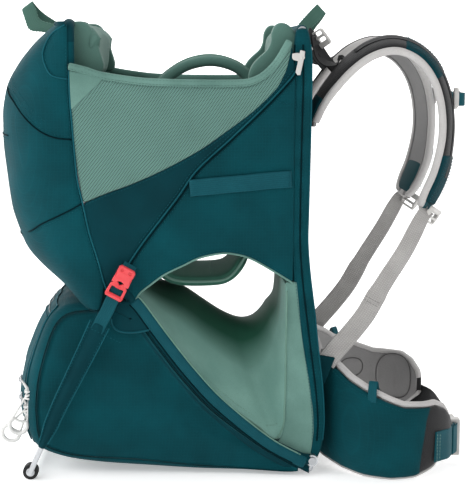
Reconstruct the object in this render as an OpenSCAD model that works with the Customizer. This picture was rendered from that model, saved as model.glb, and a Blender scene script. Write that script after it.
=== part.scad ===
// Framed child carrier: front frame, folding rear hoop, kickstand, cockpit and harness.
// +X is the wearer's forward direction, Y runs across the wearer, Z is up.

/* [Front frame] */
// Distance of each front tube from the middle plane
front_y = 142; // [140:0.5:143]
// Outside diameter of the front frame tube
front_d = 14; // [12:1:14]
// Width of the fabric sleeve sewn around each front tube
sleeve_w = 29; // [26:1:30]

/* [Rear hoop] */
// Distance of each hoop tube from the middle plane
hoop_y = 156; // [155.5:0.1:156]
// Outside diameter of the hoop tube
hoop_d = 12; // [10:1:12]
// Diameter of the two fold pins and the two kickstand pins
pin_d = 6; // [5:0.5:7]

/* [Kickstand] */
// Distance of each kickstand rod from the middle plane
rod_y = 172; // [171.5:0.1:172]
// Diameter of the kickstand rod
rod_d = 8; // [6:1:8]
// Diameter of the rubber feet
foot_d = 23; // [20:1:23]

/* [Webbing] */
// Width of the side release buckle webbing and lower shoulder webbing
webbing_w = 25; // [20:1:25]
// Thickness of all webbing
webbing_t = 2; // [1.5:0.1:2]
// Width of the hip belt webbing
hip_webbing_w = 50; // [40:1:50]
// Width of the fabric band sewn over each hoop arm
band_w = 17; // [15:1:18]

/* [Soft goods] */
// Thickness of the fabric side walls
wall_t = 2.5; // [2:0.1:2.5]
// Thickness of the padded rear panel
panel_t = 3.5; // [3:0.1:3.5]
// Width of each shoulder strap
strap_w = 60; // [55:1:62]
// Thickness of each shoulder strap
strap_t = 14; // [12:1:15]
// Thickness of the hip belt wings
wing_t = 16; // [12:1:16]
// Half the width of the storage bag under the seat
bag_half = 148; // [140:1:148]

/* [Hidden] */
$fn = 32;

teal = [0.05, 0.31, 0.34];
teal_webbing = [0.10, 0.38, 0.40];
sage = [0.44, 0.55, 0.51];
light_grey = [0.78, 0.78, 0.77];
mid_grey = [0.50, 0.50, 0.50];
black = [0.08, 0.08, 0.09];
red = [0.92, 0.33, 0.33];
silver = [0.75, 0.76, 0.78];

gap = 0.3;               // clearance between soft pieces
pin_gap = 0.05;          // running clearance of a pin in its bore
fold_pin = [122, 24];    // X and Z of the hoop's fold axis
kick_pin = [-170, 292];  // X and Z of the kickstand's fold axis
foot_pos = [-309, foot_d / 2];
boss_r = 9;

// Side outlines as [X, Z] points.
front_path = [[103, 676], [103, 560], [99, 425], [104, 300], [128, 115], [127, 42],
    [118, front_d / 2]];
hoop_arm = [fold_pin, [97, 29], [49, 57], [-20, 115], [-65, 165], [-103, 215], [-138, 264],
    kick_pin];
hoop_back = [[-190, 318], [-204, 360], [-224, 430], [-236, 500], [-240, 560],
    [-240, 676]];
rod_path = [kick_pin, [-262, 116], foot_pos];

// Points on a smooth curve through p, with n steps between neighbours.
function curve_at(p, i, t) =
    let (a = p[max(i - 1, 0)], b = p[i], c = p[i + 1], d = p[min(i + 2, len(p) - 1)])
    0.5 * (2 * b + (c - a) * t + (2 * a - 5 * b + 4 * c - d) * t * t
        + (3 * b - a - 3 * c + d) * t * t * t);
function curve(p, n = 4) = concat(
    [for (i = [0 : len(p) - 2], k = [0 : n - 1]) curve_at(p, i, k / n)],
    [p[len(p) - 1]]);
function unit(v) = v / norm(v);
function tangent(p, i) = unit(p[min(i + 1, len(p) - 1)] - p[max(i - 1, 0)]);
function side(p, i, w) = let (t = tangent(p, i)) p[i] + w * [-t[1], t[0]];
// Outline of a strip of width w that follows the path p.
function strip(p, w) = concat(
    [for (i = [0 : len(p) - 1]) side(p, i, w / 2)],
    [for (i = [len(p) - 1 : -1 : 0]) side(p, i, -w / 2)]);

module both_sides() {
    children();
    mirror([0, 1, 0]) children();
}

// A flat plate with an [X, Z] outline between y and y + t.
module plate(outline, y, t) {
    translate([0, y + t, 0]) rotate([90, 0, 0]) linear_extrude(t) polygon(outline);
}

// A round bar between two points in space.
module bar(a, b, d) {
    v = b - a;
    translate(a) rotate([0, acos(v[2] / norm(v)), atan2(v[1], v[0])])
        cylinder(d = d, h = norm(v));
}

// A round bar swept along a smooth [X, Z] path in the plane at y.
bar_sides = 16;
module bent_bar(path, y, d, steps = 2) {
    p = curve(path, steps);
    loft([for (i = [0 : len(p) - 1]) let (t = tangent(p, i))
        [for (k = [0 : bar_sides - 1]) let (a = 360 * k / bar_sides, u = d / 2 * cos(a))
            [p[i][0] - t[1] * u, y + d / 2 * sin(a), p[i][1] + t[0] * u]]]);
}

// Closed solid through rings that all have the same number of points.
module loft(rings) {
    n = len(rings[0]);
    m = len(rings);
    walls = [for (i = [0 : m - 2], j = [0 : n - 1]) let (k = (j + 1) % n)
        each [[i * n + j, i * n + k, (i + 1) * n + k],
            [i * n + j, (i + 1) * n + k, (i + 1) * n + j]]];
    polyhedron(
        points = [for (r = rings) each r],
        faces = concat([[for (j = [n - 1 : -1 : 0]) j]], walls,
            [[for (j = [0 : n - 1]) (m - 1) * n + j]]));
}

// A cylinder across the object, from y0 to y1, at an [X, Z] place.
module cross_pin(place, y0, y1, d) {
    translate([place[0], y0, place[1]]) rotate([-90, 0, 0]) cylinder(d = d, h = y1 - y0);
}

// A bar of rectangular section bent in plan: [X, Y] path between z0 and z1.
module upright_strip(path, w, z0, z1) {
    translate([0, 0, z0]) linear_extrude(z1 - z0) polygon(strip(path, w));
}

// A rectangular buckle loop around a webbing slot, lying in the local XY plane.
module slot_frame(size, slot, t) {
    linear_extrude(t) difference() {
        square(size, center = true);
        square(slot, center = true);
    }
}

// ---------------------------------------------------------------- front frame
module front_tube() {
    difference() {
        union() {
            bent_bar(front_path, -front_y, front_d);
            cross_pin(fold_pin, -front_y - front_d / 2, -front_y + front_d / 2, boss_r * 2);
        }
        cross_pin(fold_pin, -front_y - front_d, -front_y + front_d, pin_d);
    }
}
module front_tube_right() { color(silver) front_tube(); }
module front_tube_left() { color(silver) mirror([0, 1, 0]) front_tube(); }
module front_top_tube() {
    color(silver) cross_pin(front_path[0], -front_y, front_y, front_d - 1);
}
// The bottom tube is flattened along its underside, where the frame stands.
module front_bottom_tube() {
    flat = 0.4;
    color(silver) difference() {
        cross_pin(front_path[6] - [0, flat], -front_y, front_y, front_d);
        translate([front_path[6][0] - front_d, -front_y - 1, -front_d])
            cube([2 * front_d, 2 * front_y + 2, front_d]);
    }
}

panel_x = 107;
module harness_rails() {
    rail_w = 20;
    rail_z = [425, 655];
    color(black) both_sides() translate([panel_x + 8 + gap, 35, rail_z[0]])
        cube([2, rail_w, rail_z[1] - rail_z[0]]);
}
module back_panel() {
    color(black) translate([panel_x, -130, 215]) cube([8, 260, 445]);
}
module lumbar_pad() {
    color(mid_grey) translate([136, 0, 0]) rotate([0, -3, 0]) translate([-5, -88, 40])
        cube([14, 176, 150]);
}
module front_liner() {
    color(sage) translate([80, -132, 45]) cube([3, 264, 540]);
}

pad_lobe = [[30, 596], [28, 610], [36, 634], [56, 656], [62, 678], [74, 688], [86, 684],
    [92, 668], [92, 596]];
pad_bar = [[62, 596], [62, 668], [70, 678], [84, 678], [92, 668], [92, 596]];
module front_pad() {
    lobe_y = 98;
    lobe_w = 32;
    color(sage) {
        both_sides() plate(curve(pad_lobe, 3), lobe_y, lobe_w);
        plate(pad_bar, -lobe_y, 2 * lobe_y);
    }
}

front_loop = [[113, 678], [118, 700], [132, 716], [146, 710], [146, 696], [132, 682],
    [121, 671]];
module handle_front() {
    color(sage) plate(strip(curve(front_loop), webbing_t), -webbing_w / 2, webbing_w);
}

module top_brackets() {
    color(light_grey) both_sides() {
        plate([[96, 620], [103, 620], [104, 656], [98, 656]], front_y + 14, 6);
        plate([[86, 641], [96.5, 638], [97, 645], [88, 650]], front_y + 14, 5);
    }
}

module hoop_pins() {
    head_t = 3;
    color(silver) both_sides() {
        cross_pin(fold_pin, front_y - front_d / 2 - head_t, hoop_y + hoop_d / 2 + gap, pin_d);
        cross_pin(fold_pin, hoop_y + hoop_d / 2 + gap, hoop_y + hoop_d / 2 + head_t,
            pin_d * 2);
    }
}

// Sleeve outside each front tube, ending above the fold pin.
sleeve_path = [[103, 680], [103, 560], [100, 425], [105, 300], [127, 130], [128, 56]];
module front_sleeves() {
    color(teal) both_sides()
        plate(strip(curve(sleeve_path, 3), sleeve_w), front_y + front_d / 2 + gap, wall_t);
}

// The side walls slope from the front sleeve out to the rear hoop.
wall_front_x = 87.5;
wall_front_y = front_y + front_d / 2 + 2;
wall_slope = 2.85;
module on_wall() {
    translate([wall_front_x, wall_front_y, 0]) rotate([0, 0, -wall_slope])
        translate([-wall_front_x, 0, 0]) children();
}

module side_straps() {
    strap_path = [[-64, 446], [20, 453], [82, 458]];
    color(teal_webbing) both_sides() on_wall()
        plate(strip(strap_path, webbing_w), wall_t + gap, 1.5);
}

lifter_y = 60;
lifter_path = [[121, 672], [128, 657], [146, 632], [159, 619]];
module load_lifters() {
    color(black) both_sides()
        plate(strip(curve(lifter_path, 3), 2.5), lifter_y, webbing_w);
}
module lifter_locks() {
    lock_t = 6;
    color(light_grey) both_sides()
        translate([135, lifter_y + webbing_w / 2, 664]) rotate([0, 53, 0])
            translate([0, 0, -lock_t / 2]) slot_frame([28, 34], [10, 27], lock_t);
}

lower_path = [[289, 389], [246, 314], [185, 219], [158, 186]];
lower_y = 126;
module lower_webbing() {
    color(light_grey) both_sides()
        plate(strip(curve(lower_path, 3), webbing_w), lower_y, webbing_t);
}

// ------------------------------------------------------------------ rear hoop
module hoop_tube() {
    inner = hoop_y - hoop_d / 2 + gap;
    outer = hoop_y + hoop_d / 2 - gap;
    difference() {
        union() {
            bent_bar(concat(hoop_arm, hoop_back), -hoop_y, hoop_d, 1);
            cross_pin(fold_pin, -outer, -inner, boss_r * 2);
            cross_pin(kick_pin, -outer, -inner, boss_r * 2);
        }
        cross_pin(fold_pin, -outer - boss_r, -inner + boss_r, pin_d + 2 * pin_gap);
        cross_pin(kick_pin, -outer - boss_r, -inner + boss_r, pin_d);
    }
}
module hoop_tube_right() { color(silver) hoop_tube(); }
module hoop_tube_left() { color(silver) mirror([0, 1, 0]) hoop_tube(); }
module hoop_top_tube() {
    color(silver) cross_pin(hoop_back[5], -hoop_y, hoop_y, hoop_d - 1);
}
module kick_pins() {
    inner = hoop_y - hoop_d / 2 - 2;
    outer = rod_y + rod_d / 2 + gap;
    color(silver) both_sides() {
        cross_pin(kick_pin, inner, outer, pin_d);
        cross_pin(kick_pin, hoop_y + hoop_d / 2, rod_y - rod_d / 2 - gap, pin_d + 4);
    }
}

// Rear silhouette on the middle plane, and the front edge beside the hoop, by height.
back_x = [[262, -250], [300, -290], [345, -323], [401, -343], [442, -352], [506, -355],
    [553, -351], [600, -338], [632, -316], [663, -290], [686, -268]];
edge_x = [[262, -200], [300, -192], [345, -195], [401, -211], [442, -223], [506, -232],
    [553, -235], [600, -235], [632, -235], [663, -235], [686, -238]];
panel_half = hoop_y + hoop_d / 2 + 0.5 + panel_t;
panel_steps = 12;
// One level of the rear panel: an outer arc and an inner arc joined into a ring.
function panel_ring(z) =
    let (front = lookup(z, edge_x), back = lookup(z, back_x))
    concat(
        [[front, panel_half, z]],
        [for (k = [0 : panel_steps]) panel_point(front - 8, back, k, panel_half, z)],
        [[front, -panel_half, z], [front - 1, panel_t - panel_half, z]],
        [for (k = [panel_steps : -1 : 0])
            panel_point(front - 8, back + panel_t, k, panel_half - panel_t, z)],
        [[front - 1, panel_half - panel_t, z]]);
function panel_point(front, back, k, half, z) =
    let (a = 90 - 180 * k / panel_steps)
    [front + (back - front) * pow(max(cos(a), 0), 0.8), half * sin(a), z];
module rear_panel() {
    color(teal) loft([for (i = [len(back_x) - 1 : -1 : 0]) panel_ring(back_x[i][0])]);
}

module headrest() {
    plan = [[-193, -124], [-212, -108], [-222, -60], [-224, 0], [-222, 60], [-212, 108],
        [-193, 124]];
    outline = [[-240, 606], [-240, 670], [-232, 686], [-222, 691], [-210, 688], [-198, 664],
        [-182, 606]];
    color(sage) intersection() {
        upright_strip(curve(plan, 3), 20, 600, 700);
        plate(curve(outline, 2), -140, 280);
    }
}

rear_loop = [[-266, 690], [-284, 706], [-306, 719], [-320, 712], [-314, 696], [-296, 684],
    [-281, 677]];
module handle_rear() {
    color(sage) plate(strip(curve(rear_loop), webbing_t), -webbing_w / 2, webbing_w);
}

// Side wall outline: rim, front edge, arch over the leg opening, rear edge.
wall_rim = [[-233, 626], [-194, 616], [-121, 607], [-50, 604], [10, 604], [50, 616],
    [76, 648]];
wall_arch = [[wall_front_x, 302], [56, 322], [28, 338], [-16, 347], [-42, 342], [-75, 329],
    [-101, 315], [-124, 300], [-142, 284]];
wall_rear = [[-156, 306], [-182, 336], [-197, 372], [-216, 436], [-227, 500], [-230, 560]];
module cockpit_wall() {
    color(teal) on_wall()
        plate(concat(curve(wall_rim, 3), curve(wall_arch, 2), wall_rear), 0, wall_t);
}
module cockpit_wall_left() { cockpit_wall(); }
module cockpit_wall_right() { mirror([0, 1, 0]) cockpit_wall(); }

// Storage bag: side outline crossed with a rounded plan.
bag_outline = [[100, 8], [27, 6], [-127, 12], [-204, 20], [-290, 32], [-330, 45],
    [-337, 88], [-338, 113], [-322, 180], [-293, 230], [-252, 258], [-170, 262],
    [-145, 246], [-113, 203], [-75, 153], [-29, 103], [42, 48], [84, 22]];
bag_middle = [-170, 0, 120];
bag_plan_r = 387;
module bag_form(grow) {
    s = 1 + grow / 160;
    translate(bag_middle) scale(s) translate(-bag_middle) intersection() {
        plate(bag_outline, -bag_half, 2 * bag_half);
        translate([bag_plan_r - 338, 0, 0]) cylinder(r = bag_plan_r, h = 400, $fn = 96);
    }
}
door_x = -262;
door_z = [50, 246];
door_half = 118;
module door_region(shrink) {
    translate([-380, shrink - door_half, door_z[0] + shrink])
        cube([380 + door_x, 2 * (door_half - shrink), door_z[1] - door_z[0] - 2 * shrink]);
}
bag_wall = -4;
module base_bag() {
    color(teal) difference() {
        bag_form(0);
        bag_form(bag_wall);
        door_region(0);
    }
}
door_pin = [-331, 53];
module bag_door() {
    color(teal) difference() {
        union() {
            intersection() {
                difference() {
                    bag_form(0);
                    bag_form(bag_wall);
                }
                door_region(0.6);
            }
            cross_pin(door_pin, 0.6 - door_half, door_half - 0.6, 5);
        }
        cross_pin(door_pin, -door_half, door_half, 2);
    }
}
module zip_track() {
    track_w = 7;
    color(black) intersection() {
        difference() {
            bag_form(1.8);
            bag_form(0.2);
        }
        difference() {
            translate([-380, -door_half - track_w, 96])
                cube([108, 2 * (door_half + track_w), 154 + track_w]);
            translate([-400, -door_half - gap, 0])
                cube([200, 2 * (door_half + gap), door_z[1] + gap]);
        }
    }
}

// Leg well: a sheet from the hoop band up to a ridge on the middle plane.
well_edge = [[-136, 276], [-120, 248], [-92, 212], [-48, 162], [-4, 120], [40, 86],
    [70, 70], [76, 110], [76, 200], [76, 296]];
well_ridge = [[-136, 280], [-114, 262], [-86, 252], [-62, 249], [-30, 238], [-4, 216],
    [24, 203], [50, 213], [67, 246], [75, 296]];
well_half = 144;
well_t = 2;
well_steps = 16;
function well_ring(e, r, lift) = [for (k = [0 : well_steps])
    let (s = 2 * k / well_steps - 1, p = r + (e - r) * s * s)
    [p[0], s * well_half, p[1] + lift]];
module leg_well() {
    e = curve(well_edge, 2);
    r = curve(well_ridge, 2);
    n = len(e);
    inset = [for (i = [0 : n - 1]) let (t = tangent(r, i)) well_t * [t[1], -t[0]]];
    color(sage) loft([for (i = [0 : n - 1]) concat(
        well_ring(e[i], r[i], 0),
        [for (k = [well_steps : -1 : 0]) let (q = well_ring(e[i] + inset[i], r[i] + inset[i], 0)) q[k]])]);
}

module diagonal_bands() {
    band_path = [[108, 24], [97, 29], [49, 57], [-20, 115], [-65, 165], [-103, 215],
        [-138, 264], [-148, 276]];
    color(teal_webbing) both_sides()
        plate(strip(curve(band_path, 2), band_w), hoop_y + hoop_d / 2 + gap, webbing_t);
}

// ------------------------------------------------------- side release buckles
buckle_y = rod_y + rod_d / 2 + 1;
buckle_t = 12;
buckle_tilt = 28.5;      // lean of the buckle's axis from vertical
buckle_mouth = [-168, 305];
mouth_gap = 0.5;
// Local +Y is up along the buckle, local Z is outward.
module at_buckle() {
    translate([buckle_mouth[0], -buckle_y, buckle_mouth[1]]) rotate([0, buckle_tilt, 0])
        rotate([90, 0, 0]) children();
}
module side_socket() {
    socket_w = 27;
    socket_l = 27;
    at_buckle() {
        difference() {
            translate([-socket_w / 2, 0, 0]) cube([socket_w, socket_l, buckle_t]);
            translate([-socket_w / 2 + 3, -1, 3]) cube([socket_w - 6, 19, buckle_t - 6]);
        }
        translate([-10, socket_l - 6, -9]) cube([20, 6, 9]);
    }
}
module side_sockets() {
    color(red) {
        side_socket();
        mirror([0, 1, 0]) side_socket();
    }
}
module side_plug() {
    prong_l = 15;
    body_l = 22;
    color(red) at_buckle() {
        translate([-9, -4, 4]) cube([4, prong_l + 4, buckle_t - 8]);
        translate([5, -4, 4]) cube([4, prong_l + 4, buckle_t - 8]);
        translate([0, -mouth_gap - body_l / 2, 2]) slot_frame([26, body_l], [20, 8], 8);
    }
}
module side_plug_right() { side_plug(); }
module side_plug_left() { mirror([0, 1, 0]) side_plug(); }

module side_webbing() {
    web_path = [[-181, 278], [-190, 262], [-200, 243]];
    color(teal_webbing) both_sides() plate(strip(web_path, 20), buckle_y - 0.7, 1.6);
}

// ----------------------------------------------------------------- kickstand
module kick_rod() {
    boss = [rod_y - rod_d / 2, rod_y + rod_d / 2 - gap];
    difference() {
        union() {
            bent_bar(rod_path, -rod_y, rod_d, 1);
            cross_pin(kick_pin, -boss[1], -boss[0], boss_r * 2);
        }
        cross_pin(kick_pin, -boss[1] - boss_r, -boss[0] + boss_r, pin_d + 2 * pin_gap);
    }
}
module kick_rod_right() { color(silver) kick_rod(); }
module kick_rod_left() { color(silver) mirror([0, 1, 0]) kick_rod(); }
module kick_crossbar() { color(silver) cross_pin(foot_pos, -rod_y, rod_y, rod_d - 0.5); }
module kick_feet() {
    color(black) both_sides() difference() {
        cross_pin(foot_pos, rod_y - rod_d / 2 - 16, rod_y - rod_d / 2 - gap, foot_d);
        cross_pin(foot_pos, 0, rod_y + foot_d, rod_d);
    }
}
module kick_sleeves() {
    sleeve = [[-203, 237], [-262, 116], [-286, 62]];
    color(teal) both_sides() plate(strip(sleeve, 24), buckle_y - 0.7, 1.6);
}

// ----------------------------------------------------------------------- zip
zip_y = door_half + 4;
zip_low = [-323.8, 118];
zip_high = [-323.8, 146];
module zip_slider(place) {
    translate([place[0], -zip_y, place[1]]) {
        translate([-2, -4, -7]) cube([4, 8, 14]);
        translate([-5, -1.5, -4]) cube([3, 3, 8]);
    }
}
module zip_slider_lower() { color(light_grey) zip_slider(zip_low); }
module zip_slider_upper() { color(light_grey) zip_slider(zip_high); }
// A knotted cord loop ending in a moulded ring.
module zip_pull(place, drop) {
    knot = place + [-8.5, -1];
    ring = knot + drop;
    color([0.9, 0.9, 0.9]) {
        translate([knot[0], -zip_y, knot[1]]) sphere(d = 6);
        bar([knot[0], -zip_y, knot[1]], [ring[0] + 8, -zip_y, ring[1] + 14], 2.4);
        bar([knot[0], -zip_y, knot[1]], [ring[0] - 8, -zip_y, ring[1] + 12], 2.4);
        translate([ring[0], -zip_y, ring[1]]) rotate([90, 0, 0])
            rotate_extrude() translate([13, 0]) circle(d = 3.2);
    }
}
module zip_pull_lower() { zip_pull(zip_low, [-6, -54]); }
module zip_pull_upper() { translate([0, -5, 0]) zip_pull(zip_high, [-13, -44]); }

// ------------------------------------------------------------------- harness
yoke_x = panel_x + 8 + gap + 2 + gap;
module yoke_plate() {
    color(black) translate([yoke_x, -68, 515]) cube([4, 136, 90]);
}
strap_path = [[130, 546], [150, 584], [182, 628], [212, 650], [247, 657], [282, 646],
    [310, 616], [326, 574], [331, 522], [322, 466], [302, 420], [290, 402]];
strap_y = 100;
module shoulder_strap() {
    color(mid_grey) {
        plate(strip(curve(strap_path, 3), strap_t), strap_y - strap_w / 2, strap_w);
        plate([[yoke_x + 4, 532], [127, 532], [136, 548], [yoke_x + 4, 566]], 60, 30);
    }
}
module shoulder_strap_left() { shoulder_strap(); }
module shoulder_strap_right() { mirror([0, 1, 0]) shoulder_strap(); }
module ladder_locks() {
    lock_t = 7;
    color(light_grey) both_sides() translate([301, strap_y + 2, 400]) rotate([0, -58, 0])
        translate([0, 0, -14]) slot_frame([26, 34], [9, 27], lock_t);
}

sternum_z = [562, 584];
sternum_x = 348;
module sternum_clips() {
    color(light_grey) both_sides() difference() {
        translate([338.5, strap_y - 14, sternum_z[0] - 4]) cube([7, 12, 30]);
        translate([340.5, strap_y - 20, sternum_z[0]]) cube([3, 24, 22]);
    }
}
module sternum_strap() {
    color(teal_webbing) both_sides()
        translate([sternum_x - 2, 18, sternum_z[0] + 1]) cube([webbing_t, strap_y - 20, 20]);
}
module sternum_socket() {
    color(light_grey) difference() {
        translate([sternum_x - 6, -18, sternum_z[0]]) cube([10, 17.5, 22]);
        translate([sternum_x - 3.5, -12, sternum_z[0] + 3]) cube([5, 14, 16]);
    }
}
module sternum_plug() {
    color(light_grey) {
        translate([sternum_x - 5, 0, sternum_z[0]]) cube([8, 17.5, 22]);
        for (z = [4, 14]) translate([sternum_x - 2.5, -10, sternum_z[0] + z])
            cube([3, 10, 4]);
    }
}

wing_plan = [[146, 98], [172, 134], [204, 166], [246, 182], [288, 176], [320, 152],
    [334, 132]];
wing_outline = [[120, 38], [147, 16], [177, 6], [223, 2], [268, 4], [302, 16], [322, 36],
    [340, 60], [336, 88], [314, 110], [281, 122], [243, 134], [205, 148], [167, 166],
    [150, 178], [136, 190]];
wing_root = [146, 98];
module hip_wing() {
    color(teal) intersection() {
        union() {
            upright_strip(curve(wing_plan, 3), wing_t, 0, 260);
            translate([wing_root[0], wing_root[1], 0]) cylinder(d = wing_t, h = 260);
        }
        plate(wing_outline, 0, 260);
    }
}
module hip_wing_left() { hip_wing(); }
module hip_wing_right() { mirror([0, 1, 0]) hip_wing(); }

hip_z = 16;
hip_x = 352;
module hip_webbing_right() {
    path = [[339, -124], [347, -114], [hip_x - 3, -106]];
    color(teal_webbing) upright_strip(curve(path, 3), 5, hip_z + 2, hip_z + hip_webbing_w);
}
module hip_webbing_left() {
    path = [[339, 124], [349, 100], [hip_x, 60], [hip_x, -40], [hip_x, -62]];
    color(black) upright_strip(curve(path, 3), webbing_t, hip_z + 2, hip_z + hip_webbing_w);
}
hip_mouth = -84;
module hip_socket() {
    color(mid_grey) difference() {
        translate([hip_x - 8, hip_mouth - 21, hip_z - 1]) cube([17, 20.5, hip_webbing_w + 6]);
        translate([hip_x - 5, hip_mouth - 15, hip_z + 4]) cube([11, 20, hip_webbing_w - 4]);
    }
}
module hip_plug() {
    color(mid_grey) {
        translate([hip_x - 6, hip_mouth, hip_z]) cube([13, 21, hip_webbing_w + 4]);
        for (z = [8, 36]) translate([hip_x - 3, hip_mouth - 13, hip_z + z])
            cube([7, 13, 9]);
    }
}

// ---------------------------------------------------------------- child seat
seat_path = [[-144, 580], [-142, 500], [-136, 400], [-122, 325], [-100, 288], [-70, 276],
    [-25, 276], [12, 288], [46, 310]];
seat_half = 82;
seat_t = 20;
module child_seat() {
    color(sage) plate(strip(curve(seat_path, 3), seat_t), -seat_half, 2 * seat_half);
}
module child_harness() {
    halo = [[-121, 556], [-112, 590], [-90, 612], [-60, 627], [-25, 631], [10, 620],
        [32, 596], [36, 560], [30, 520]];
    halo_y = 60;
    color(sage) {
        both_sides() bent_bar(halo, halo_y, 18);
        translate([22, -halo_y, 506]) cube([16, 2 * halo_y, 26]);
    }
}

front_tube_left();
front_tube_right();
front_top_tube();
front_bottom_tube();
harness_rails();
back_panel();
lumbar_pad();
front_pad();
front_liner();
handle_front();
top_brackets();
hoop_pins();
front_sleeves();
side_straps();
load_lifters();
lifter_locks();
lower_webbing();
hoop_tube_left();
hoop_tube_right();
hoop_top_tube();
rear_panel();
headrest();
handle_rear();
cockpit_wall_left();
cockpit_wall_right();
base_bag();
leg_well();
diagonal_bands();
side_sockets();
zip_track();
kick_pins();
bag_door();
kick_rod_left();
kick_rod_right();
kick_crossbar();
kick_feet();
kick_sleeves();
side_webbing();
side_plug_left();
side_plug_right();
zip_slider_upper();
zip_slider_lower();
zip_pull_upper();
zip_pull_lower();
yoke_plate();
shoulder_strap_left();
shoulder_strap_right();
ladder_locks();
sternum_clips();
sternum_strap();
sternum_socket();
sternum_plug();
hip_wing_left();
hip_wing_right();
hip_webbing_left();
hip_webbing_right();
hip_socket();
hip_plug();
child_seat();
child_harness();
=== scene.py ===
"""Looks for the framed child carrier: fabric panels, padding, webbing, buckles and materials."""
import math

import bpy
import numpy as np
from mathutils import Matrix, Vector


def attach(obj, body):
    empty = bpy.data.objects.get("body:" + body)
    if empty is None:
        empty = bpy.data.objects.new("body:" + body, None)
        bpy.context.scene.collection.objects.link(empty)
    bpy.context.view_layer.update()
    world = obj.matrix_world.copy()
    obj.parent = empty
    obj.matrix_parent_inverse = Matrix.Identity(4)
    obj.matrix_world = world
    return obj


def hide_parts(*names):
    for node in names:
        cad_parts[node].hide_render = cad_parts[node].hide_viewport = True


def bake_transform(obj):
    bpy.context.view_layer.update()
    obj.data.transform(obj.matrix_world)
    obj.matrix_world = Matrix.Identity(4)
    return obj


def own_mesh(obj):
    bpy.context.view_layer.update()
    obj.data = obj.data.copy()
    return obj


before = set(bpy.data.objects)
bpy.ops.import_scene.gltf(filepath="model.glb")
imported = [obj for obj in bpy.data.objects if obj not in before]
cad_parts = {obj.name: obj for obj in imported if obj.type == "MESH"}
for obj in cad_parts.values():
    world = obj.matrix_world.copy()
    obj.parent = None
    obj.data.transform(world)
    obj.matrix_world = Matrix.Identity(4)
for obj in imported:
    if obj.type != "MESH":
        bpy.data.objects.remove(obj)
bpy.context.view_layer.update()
MM = 0.001
SIDES = (("right", -1), ("left", 1))


# ------------------------------------------------------------------ curves
def arr(points):
    """Points as an array of floats."""
    return np.array(points, float)


def smooth(points, count, closed=False):
    """count points, evenly spaced, on a smooth curve through the given ones."""
    p = arr(points)
    n = len(p)
    dense = []
    for i in range(n if closed else n - 1):
        if closed:
            a, b, c, d = p[i - 1], p[i], p[(i + 1) % n], p[(i + 2) % n]
        else:
            a, b, c, d = p[max(i - 1, 0)], p[i], p[i + 1], p[min(i + 2, n - 1)]
        for t in np.arange(0, 1, 1 / 12):
            dense.append(0.5 * (2 * b + (c - a) * t + (2 * a - 5 * b + 4 * c - d) * t * t
                                + (3 * b - a - 3 * c + d) * t ** 3))
    dense.append(p[0] if closed else p[-1])
    dense = arr(dense)
    steps = np.concatenate([[0], np.cumsum(np.linalg.norm(np.diff(dense, axis=0), axis=1))])
    want = np.linspace(0, steps[-1], count, endpoint=not closed)
    return np.stack([np.interp(want, steps, dense[:, k]) for k in range(p.shape[1])], axis=1)


def lookup(x, table):
    """The value at x in a table of (x, value) pairs, linear between them."""
    xs, ys = zip(*sorted(table))
    return float(np.interp(x, xs, ys))


def unit(v):
    """Vectors scaled to length 1."""
    n = np.linalg.norm(v, axis=-1, keepdims=True)
    return v / np.maximum(n, 1e-9)


def tangents(path, closed=False):
    """Unit directions along a path."""
    if closed:
        return unit(np.roll(path, -1, axis=0) - np.roll(path, 1, axis=0))
    return unit(np.gradient(path, axis=0))


# ------------------------------------------------------------------ meshes
def make(name, verts, faces, material, run=None, flat=False):
    """A mesh object from points in millimetres."""
    mesh = bpy.data.meshes.new(name)
    mesh.from_pydata([tuple(v) for v in arr(verts) * MM], [], [tuple(int(i) for i in f) for f in faces])
    mesh.update()
    if run is not None:
        layer = mesh.attributes.new("run", "FLOAT_VECTOR", "POINT")
        layer.data.foreach_set("vector", (arr(run) * MM).astype(np.float32).ravel())
    mesh.materials.append(material)
    mesh.polygons.foreach_set("use_smooth", [not flat] * len(mesh.polygons))
    obj = bpy.data.objects.new(name, mesh)
    bpy.context.scene.collection.objects.link(obj)
    return obj


def modifier(obj, kind, **settings):
    """Adds a modifier and sets its values."""
    m = obj.modifiers.new(kind.title(), kind)
    for key, value in settings.items():
        setattr(m, key, value)
    return m


def grid_faces(rows, cols, wrap_rows=False, wrap_cols=False):
    """Four-sided faces between neighbours in a grid of points."""
    faces = []
    for i in range(rows if wrap_rows else rows - 1):
        for j in range(cols if wrap_cols else cols - 1):
            a, b = i * cols + j, i * cols + (j + 1) % cols
            c, d = ((i + 1) % rows) * cols + (j + 1) % cols, ((i + 1) % rows) * cols + j
            faces.append((a, b, c, d))
    return faces


def sheet(name, grid, material, thick=2.0, subdiv=1, run=None):
    """A sheet of fabric from a grid of points (rows x columns x 3)."""
    g = arr(grid)
    rows, cols = g.shape[:2]
    obj = make(name, g.reshape(-1, 3), grid_faces(rows, cols), material, run)
    modifier(obj, "SOLIDIFY", thickness=thick * MM, offset=0)
    if subdiv:
        modifier(obj, "SUBSURF", levels=subdiv, render_levels=subdiv)
    return obj


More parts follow.
